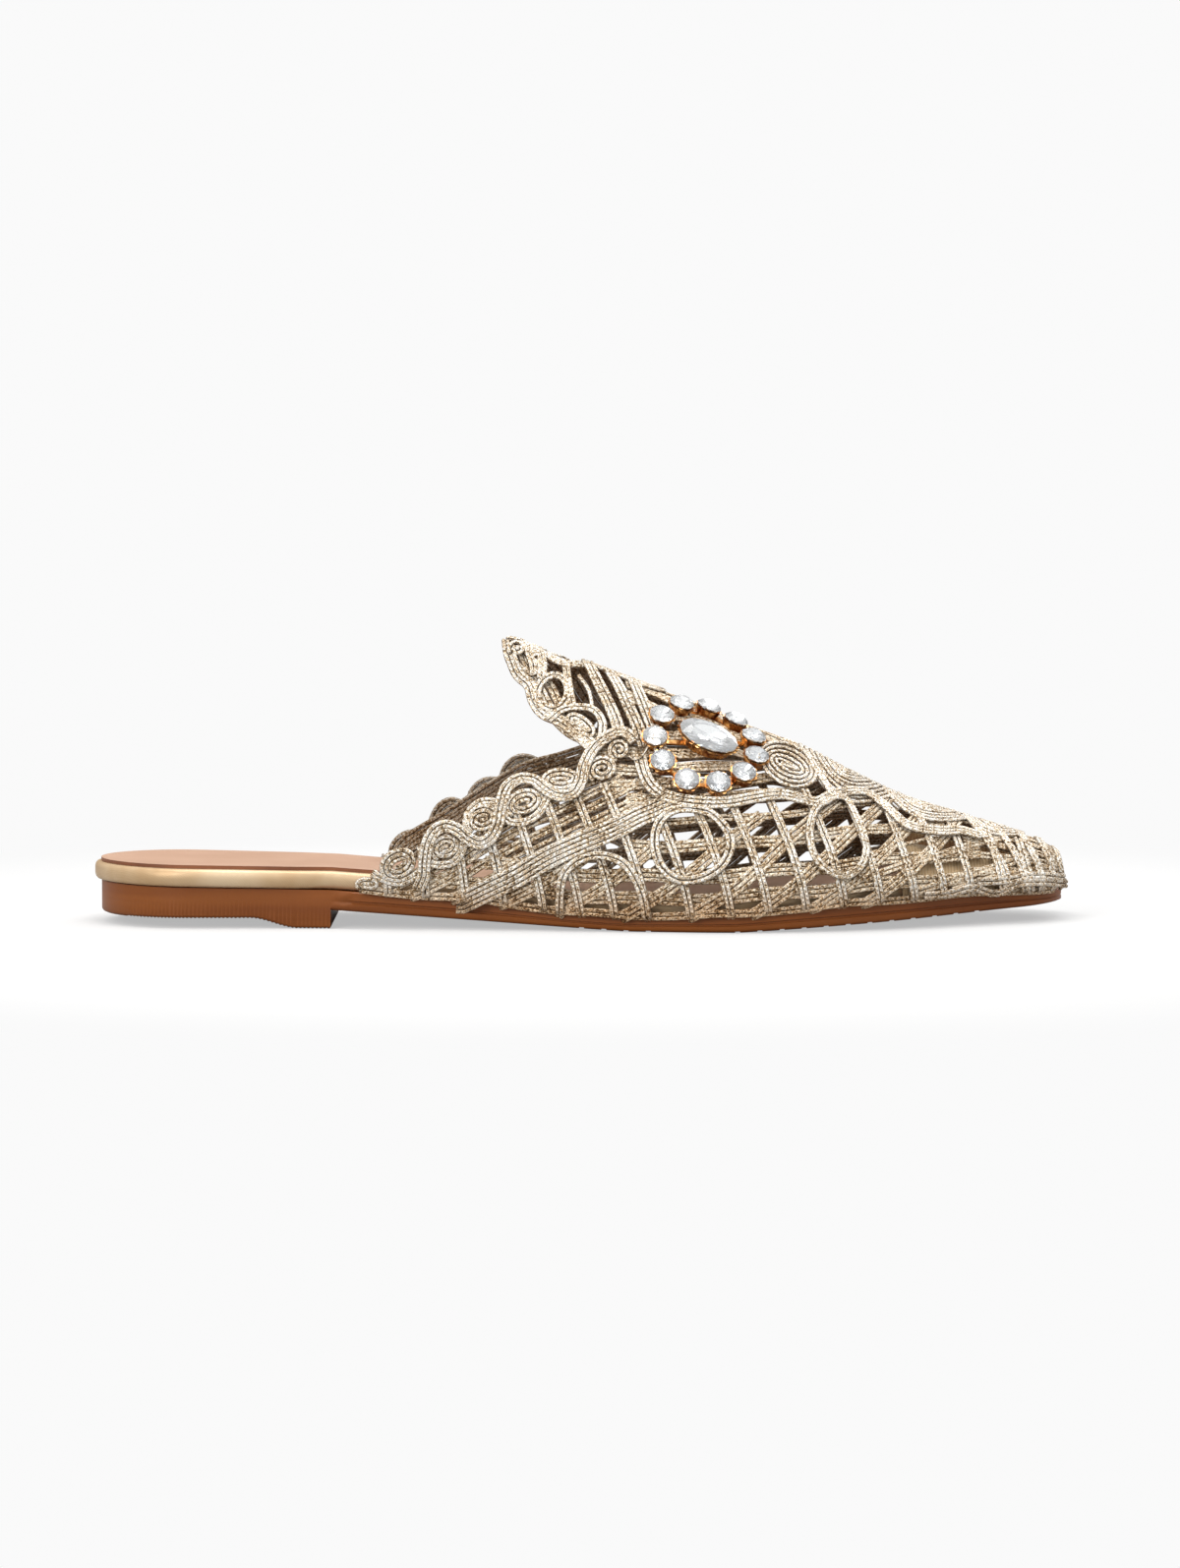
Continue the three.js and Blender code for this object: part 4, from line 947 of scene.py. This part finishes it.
def lay_tongue_edge(inward, lift, count, kind, lowest=0.0, inner_only=False):
    """A run along the tongue's edge, from its outer root over the tip to its inner root."""
    x = TONGUE_EDGE["at"] * SHOE_LENGTH + inward
    kept = TONGUE_EDGE["outer"] >= lowest
    runs = []
    for side, column in ((OUTER, "outer"), (INNER, "inner")):
        up = TONGUE_EDGE[column] * INSTEP - section(x, side)["foot"]
        runs.append(np.stack([x, around_at(x, up, side)], -1)[kept])
    tip = [[x[-1] - 0.6, math.pi / 2]]
    points = np.vstack([runs[0], tip, runs[1][::-1]]) * (1, AROUND_SCALE)
    path = curve_through(points[len(runs[0]):] if inner_only else points, CORD_STEP) / (1, AROUND_SCALE)
    lay(path[:, 0], path[:, 1], lift, count, kind=kind)


lay_tongue_edge(2.2, 0.6, 3, "gold")
lay_tongue_edge(6.0, -0.2, 2, "ground", lowest=BACKING_LOWEST)
for inward in np.arange(6.5, 34, 2.3):
    lay_tongue_edge(inward, 0.0, 2, "ground", lowest=BACKING_LOWEST, inner_only=True)


# %% [markdown]
# Leaf-shaped loops, one inside the other, lie along the crest in front of the brooch. Five level
# courses under them close the crest.

# %% Loops over the crest
LOOP_STEP = CORD * 1.15
CREST_LOOPS = [(207, 13, 15, 9, 1.2), (229, 12, 11, 8, 1.2), (248, 8, 8, 5, 1.1)]

for middle, half_length, half_girth, turns, lift in CREST_LOOPS:
    for number in range(turns):
        length, girth = half_length - number * LOOP_STEP, half_girth - number * LOOP_STEP
        angle = np.linspace(0, 2 * math.pi, max(14, int(length * 6)))
        x = middle + length * np.cos(angle)
        reach = girth * np.sin(angle) * (1 - 0.25 * np.cos(angle))
        lay(x, math.pi / 2 + reach / np.interp(x, (150, 230, 262), (30.0, 20.0, 12.0)), lift, 1)

x = np.arange(146, 200, CORD_STEP)
for shift in (-9.5, -4.8, 0.0, 4.8, 9.5):
    lay(x, math.pi / 2 + shift / 27 + 0.03 * np.sin(x / 4 + shift), 0.4, 4, kind="ground")
print("cords", len(cords), "points", sum(len(cord["line"]) for cord in cords))

# %% [markdown]
# ## From centre lines to cords
# A cord is a slightly flat tube with closed ends. Hundreds of them would be slow as separate
# objects, so all that belong together are built as one mesh from arrays, each with a map that
# measures millimetres along the cord.

# %% Tubes
SIDES, FLATNESS = 6, 0.88


def travelled(line):
    """Length from the start of a line to each of its points."""
    return np.insert(np.cumsum(np.linalg.norm(np.diff(line, axis=0), axis=1)), 0, 0)


def tubes(name, kind, material):
    chosen = [cord for cord in cords if cord["kind"] == kind]
    vertices, quads, caps, uvs = [], [], [], []
    base = 0
    turn = np.arange(SIDES) / SIDES * 2 * math.pi
    for cord in chosen:
        line = cord["line"]
        tangent = unit(np.gradient(line, axis=0))
        across = unit(np.cross(cord["normal"], tangent))
        above = unit(np.cross(tangent, across))
        ring = (across[:, None] * np.cos(turn)[None, :, None]
                + above[:, None] * np.sin(turn)[None, :, None] * FLATNESS) * cord["radius"]
        vertices.append(((line[:, None] + ring - (HEEL_SHIFT, 0, 0)) * MM).reshape(-1, 3))
        length = travelled(line) + random.uniform(0, 5)
        i, j = (grid.ravel() for grid in np.meshgrid(np.arange(len(line) - 1), np.arange(SIDES), indexing="ij"))
        corners = ((i, j), (i, j + 1), (i + 1, j + 1), (i + 1, j))
        quads.append(base + np.stack([a * SIDES + b % SIDES for a, b in corners], -1))
        uvs.append(np.stack([np.stack([length[a], b / SIDES], -1) for a, b in corners], 1).reshape(-1, 2))
        caps.append(base + np.arange(SIDES)[::-1])
        base += len(line) * SIDES
        caps.append(base - SIDES + np.arange(SIDES))
    mesh = bpy.data.meshes.new(name)
    mesh.from_pydata(np.vstack(vertices), [], [tuple(corners) for corners in (*np.vstack(quads), *caps)])
    values = np.vstack(uvs + [np.zeros((len(caps) * SIDES, 2))])
    mesh.uv_layers.new(name="cord_map").data.foreach_set("uv", values.ravel())
    mesh.update()
    piece = bpy.data.objects.new(name, mesh)
    bpy.context.scene.collection.objects.link(piece)
    finish_piece(piece, material, "upper")
    lengths = [travelled(cord["line"])[-1] for cord in chosen]
    print(f"{kind}: {len(chosen)} cords, {sum(lengths) * MM:.1f} m in all, longest {max(lengths):.0f} mm")


tubes("upper_bands", "gold", cord_gold)
tubes("upper_net", "ground", cord_ground_shaded)

# %% [markdown]
# ## Toe lining
# Inside the toe a ribbed fabric lining stands behind the cords and shows through the gaps. It is a
# sheet on the same surface, 2 mm further in, and the Solidify modifier gives it its thickness.

# %% Lining
LINING_FROM, LINING_TO, LINING_HIGH, LINING_INSET, LINING_THICK = 221.0, 265.4, 0.72, 2.0, 0.4
STEPS_ALONG, STEPS_ROUND = 60, 24
lining = start(bpy.ops.mesh.primitive_grid_add, x_subdivisions=STEPS_ALONG, y_subdivisions=STEPS_ROUND, size=2)
lining.name = "toe_lining"
for vertex in lining.data.vertices:
    x = LINING_FROM + (LINING_TO - LINING_FROM) * math.sin((vertex.co.x + 1) * math.pi / 4)
    side = OUTER if vertex.co.y < 0 else INNER
    reach = LINING_HIGH + (1 - LINING_HIGH) * float(blend(LINING_TO - 4, LINING_TO, x))
    power = section(np.array(x), side, LINING_INSET)["power"]
    turn = float(np.arcsin(np.clip(reach * (1 - abs(vertex.co.y)), 0, 1) ** (1 / power)))
    spot = face(x, turn if side == OUTER else math.pi - turn, LINING_INSET) - (HEEL_SHIFT, 0, 0)
    vertex.co = Vector(spot) * MM
middle = (STEPS_ROUND - 1) / 2
pick_faces(lining, lambda face_: abs(face_.index // STEPS_ALONG - middle) < 1
           and face_.center.x < (LINING_TO - HEEL_SHIFT - 2) * MM)
bpy.ops.mesh.delete(type="FACE")
bpy.ops.object.mode_set(mode="OBJECT")
thicken = lining.modifiers.new("thickness", "SOLIDIFY")
thicken.thickness = LINING_THICK * MM
thicken.offset = 0
bpy.ops.object.modifier_apply(modifier="thickness")

paint = Paint("lining_fabric", Metallic=0.0, Roughness=0.75, Sheen_Weight=0.3)
rib = paint.add("TexWave", {"Vector": paint.place, "Scale": 380.0, "Distortion": 0.6, "Detail": 1.0}, 1)
cloud = paint.noise(paint.place, 300.0, 3.0)
colour = paint.mix(paint.math("MULTIPLY", rib, 0.6), "#ecd2a8", "#c79d68")
colour = paint.mix(paint.math("MULTIPLY", cloud, 0.3), colour, "#b98f5e")
finish_piece(lining, paint.plug(colour, None, rib, 0.5, 0.0002), "upper")

# %% [markdown]
# ## Brooch
# Eleven round stones stand in a ring about one large oval stone. Each sits in a fluted metal cup, and
# thin links join the cups. Every cup stands square on the upper below it, so its foot is found by
# walking over the surface from the brooch's middle.

# %% Where each stone stands
BROOCH_UP = 44.5
RING_LENGTH, RING_WIDTH = 28.0, 31.0
STONE, STONE_DEPTH, STONE_CROWN, GIRDLE = 7.0, 1.5, 1.2, 0.3
CUP_RIM, CUP_HEIGHT, FLUTES = 0.35, 2.6, 12
LINK_WIDTH, LINK_HEIGHT, LINK_LIFT = 1.6, 0.5, 0.4
CENTRE_LENGTH, CENTRE_WIDTH, CENTRE_CUP, CENTRE_TURN, CENTRE_FLUTES = 17.0, 11.5, 3.2, -24.0, 26
STONE_TURNS = [153, 184, 215, 250, 284, 316, 347, 20, 53, 87, 120]
BAR_TURNS = [0, 180]  # each bar runs from the centre to the stone nearest to this turn
WALK_STEPS = 40

start_turn = float(around_at(np.array(BROOCH_AT), BROOCH_UP, OUTER))
brooch_centre = face(BROOCH_AT, start_turn)
brooch_normal = face_normal(BROOCH_AT, start_turn)


def basis(normal):
    forward = unit(np.array([1.0, 0, 0]) - normal * normal[0])
    return forward, np.cross(normal, forward)


brooch_forward, brooch_inward = basis(brooch_normal)


def foot_under(degrees):
    """The point of the upper under a stone of the ring, and the surface's direction there."""
    along = RING_LENGTH / 2 * math.cos(math.radians(degrees))
    across = RING_WIDTH / 2 * math.sin(math.radians(degrees))
    x, around = BROOCH_AT + along, start_turn
    for _ in range(WALK_STEPS):
        offset = face(x, around) - brooch_centre
        x += 0.7 * (along - offset @ brooch_forward)
        around += 0.5 * (across - offset @ brooch_inward) / (BALL_WIDTH / 2)
    return face(x, around), face_normal(x, around)


def placed(axes, spot):
    """The matrix from millimetres on three axes at a spot to the shoe's place in metres."""
    matrix = Matrix(np.stack(axes, 1).tolist()).to_4x4()
    return Matrix.Scale(MM, 4) @ Matrix.Translation(Vector(spot - np.array([HEEL_SHIFT, 0, 0]))) @ matrix


def stand(place, normal, raise_by):
    """Stands a piece that is modelled along Z square on the upper."""
    return placed([*basis(normal), normal], place + normal * raise_by)


feet = [foot_under(degrees) for degrees in STONE_TURNS]
print("brooch centre", np.round(brooch_centre, 1))

# %% [markdown]
# A cup is a small cylinder: its top is inset to a thin rim and pushed down to a floor, and every
# second corner of its wall is drawn in, which gives the flutes. The stone is cut the same way, with a
# flat table, slanting facets and a point below.


# %% Cup and stone
CROWN_STEPS = ((0.8, 0.45), (0.62, 0.35), (0.56, 0.2))
BACK_STEPS = ((0.55, 0.5), (0.06, 0.5))


def make_cup(name, length, width, height, flutes):
    cup = start(bpy.ops.mesh.primitive_cylinder_add, vertices=2 * flutes, radius=1, depth=height,
                location=(0, 0, height / 2))
    cup.name = name
    bpy.ops.object.transform_apply(location=True)
    pick_faces(cup, lambda p: p.normal.z > 0.9)
    bpy.ops.mesh.inset(thickness=2.2 * CUP_RIM / width)
    bpy.ops.mesh.extrude_region_move(TRANSFORM_OT_translate={"value": (0, 0, -STONE_DEPTH - 2 * SEAT)})
    bpy.ops.transform.resize(value=(0.85, 0.85, 1))
    pick_faces(cup, lambda p: abs(p.normal.z) < 0.2 and p.center.length > 0.9)
    bpy.ops.mesh.subdivide(number_cuts=1)
    bpy.ops.object.mode_set(mode="OBJECT")
    for vertex in cup.data.vertices:
        x, y, z = vertex.co
        if math.hypot(x, y) > 0.93:
            flute = 0.94 if round(math.atan2(y, x) / math.pi * flutes) % 2 else 1.04
            waist = 1 - 0.18 * (1 - z / height) - 0.1 * math.sin(math.pi * z / height)
            factor = (flute if z > 0.1 else 0.95) * waist
            x, y = x * factor, y * factor
        vertex.co = (x * (length / 2 + CUP_RIM), y * (width / 2 + CUP_RIM), z)
    return cup


def make_stone(name, length, width, crown, sides):
    stone = start(bpy.ops.mesh.primitive_cylinder_add, vertices=sides, radius=1, depth=GIRDLE)
    stone.name = name
    for way, depth, steps in ((1, crown, CROWN_STEPS), (-1, STONE_DEPTH, BACK_STEPS)):
        before = 1.0
        for size, share in steps:
            pick_faces(stone, lambda p: p.normal.z * way > 0.9)
            bpy.ops.mesh.extrude_region_move(TRANSFORM_OT_translate={"value": (0, 0, way * depth * share)})
            bpy.ops.transform.resize(value=(size / before, size / before, 1))
            bpy.ops.transform.rotate(value=math.pi / sides, orient_axis="Z", center_override=(0, 0, 0))
            before = size
    bpy.ops.object.mode_set(mode="EDIT")
    bpy.ops.mesh.select_all(action="SELECT")
    bpy.ops.mesh.quads_convert_to_tris()
    bpy.ops.object.mode_set(mode="OBJECT")
    for vertex in stone.data.vertices:
        x, y, z = vertex.co
        vertex.co = (x * length / 2, y * width / 2, z + SEAT + GIRDLE / 2)
    return stone


def make_link(name, here, there):
    """A flat bar from one cup's foot to another's."""
    link = start(bpy.ops.mesh.primitive_cube_add, size=1)
    link.name = name
    forward = unit(there - here)
    inward = unit(np.cross(brooch_normal, forward))
    size = Matrix.Diagonal((float(np.linalg.norm(there - here)), LINK_WIDTH, LINK_HEIGHT, 1))
    link.data.transform(placed([forward, inward, np.cross(forward, inward)], (here + there) / 2) @ size)
    return link


def copy_at(model, name, matrix):
    piece = bpy.data.objects.new(name, model.data.copy())
    piece.data.name = name
    piece.data.transform(matrix)
    bpy.context.scene.collection.objects.link(piece)
    return piece


# %% [markdown]
# The metal is warm gold with darker, rougher patches. The stones are clear glass, and the facets
# below the girdle carry a silver foil, which sends the light back and makes them sparkle.

# %% Metal, glass and foil
paint = Paint("setting_metal", Metallic=1.0, Roughness=0.22)
# Darker, rougher patches at random over the gold.
mottle = paint.noise(paint.place, 420.0, 4.0)
colour = paint.mix(paint.spread(mottle, 0.4, 0.62), "#8f5526", "#f0bd7c")
setting_metal = paint.plug(colour, paint.spread(mottle, 0.0, 1.0, 0.32, 0.16), mottle, 0.25, 0.0001)

paint = Paint("stone_glass", Roughness=0.02, IOR=1.6, Transmission_Weight=0.85, Metallic=0.0)
cloud = paint.noise(paint.place, 160.0, 1.0)
stone_glass = paint.plug(paint.mix(cloud, (1, 1, 1, 1), (0.94, 0.96, 0.97, 1)))

paint = Paint("stone_foil", Metallic=0.8, Roughness=0.06)
patch = paint.add("TexVoronoi", {"Vector": paint.place, "Scale": 120.0}, "Color")
stone_foil = paint.plug(paint.mix(paint.add("SeparateXYZ", {0: patch}), "#d3d7db", "#ffffff"))

# %% [markdown]
# Each kind of cup and stone is made once, copied with its own mesh to every place and then removed.
# The cups, their links and the two bars to the centre are joined to one setting.

# %% Set the stones
small_cup = make_cup("small_cup", STONE, STONE, CUP_HEIGHT, FLUTES)
small_stone = make_stone("small_stone", STONE, STONE, STONE_CROWN, 10)
large_cup = make_cup("large_cup", CENTRE_LENGTH, CENTRE_WIDTH, CENTRE_CUP, CENTRE_FLUTES)
large_stone = make_stone("large_stone", CENTRE_LENGTH, CENTRE_WIDTH, STONE_CROWN * 1.6, 14)


def set_stone(cup, stone, cup_name, stone_name, node, foot, height, turn):
    """One cup on the upper and its stone in it. The facets below the girdle get the foil."""
    place, normal = foot
    seated = copy_at(cup, cup_name, stand(place, normal, SEAT) @ turn)
    piece = copy_at(stone, stone_name, stand(place, normal, SEAT + height) @ turn)
    finish_piece(piece, stone_glass, node, angle=1)
    piece.data.materials.append(stone_foil)
    for polygon, facet in zip(piece.data.polygons, stone.data.polygons):
        polygon.material_index = int(facet.normal.z < 0.2)
    return seated


turned = Matrix.Rotation(math.radians(CENTRE_TURN), 4, "Z")
cups = [set_stone(large_cup, large_stone, "setting_cup_centre", "stone_centre_cut", "centre_stone",
                  (brooch_centre, brooch_normal), CENTRE_CUP, turned)]
for number, foot in enumerate(feet, 1):
    cups.append(set_stone(small_cup, small_stone, f"setting_cup_{number:02d}", f"stone_cut_{number:02d}",
                          f"stone_{number:02d}", foot, CUP_HEIGHT, Matrix()))
raised = [place + normal * (SEAT + LINK_LIFT) for place, normal in feet]
heart = brooch_centre + brooch_normal * (SEAT + LINK_LIFT)
for number, here in enumerate(raised):
    cups.append(make_link(f"link_{number + 1:02d}", here, raised[(number + 1) % len(raised)]))
for degrees in BAR_TURNS:
    number = min(range(len(feet)), key=lambda index: abs(STONE_TURNS[index] - degrees))
    cups.append(make_link(f"bar_{number + 1:02d}", heart, raised[number]))
bpy.ops.object.select_all(action="DESELECT")
for cup in cups:
    cup.select_set(True)
bpy.context.view_layer.objects.active = cups[0]
bpy.ops.object.join()
cups[0].name = "setting_cups"
finish_piece(cups[0], setting_metal, "brooch_setting", angle=40)
for model in (small_cup, small_stone, large_cup, large_stone):
    bpy.data.objects.remove(model)

# %% [markdown]
# ## Studio and the end
# The floor is plain and pale. Away from the shoe it glows softly for the camera only, so that the
# picture's background is even, and near the shoe it is painted, so that it takes a shadow.

# %% Studio
paint = Paint("floor_paint", Roughness=1.0, Specular_IOR_Level=0.0, Emission_Color=(1, 1, 1, 1))
beside = paint.add("VectorMath", {0: paint.place, 1: (0.08, 0.0, 0.0)}, "Value", operation="DISTANCE")
away = paint.spread(beside, 0.16, 0.3, interpolation_type="SMOOTHSTEP")
seen = paint.add("LightPath", {}, "Is Camera Ray")
cloud = paint.noise(paint.place, 3.0, 2.0)
grey = paint.mix(cloud, (0.34, 0.34, 0.34, 1), (0.35, 0.35, 0.35, 1))
floor.data.materials.append(paint.plug(paint.mix(paint.math("MULTIPLY", away, seen), grey, (0, 0, 0, 1))))
glow = paint.math("MULTIPLY", seen, paint.spread(away, 0.0, 1.0, 0.455, 0.955))
paint.fill(paint.shader["Emission Strength"], glow)

world = bpy.data.worlds.new("studio")
world.use_nodes = True
bpy.context.scene.world = world
sky = Nodes(world.node_tree)
heading = sky.add("SeparateXYZ", {0: sky.add("TexCoord", {}, "Generated")}, 2)
light = world.node_tree.nodes["Background"].inputs
sky.fill(light["Strength"], sky.spread(heading, -0.3, 0.8, 0.35, 1.1))
light["Color"].default_value = (1, 1, 1, 1)
print("studio ready")
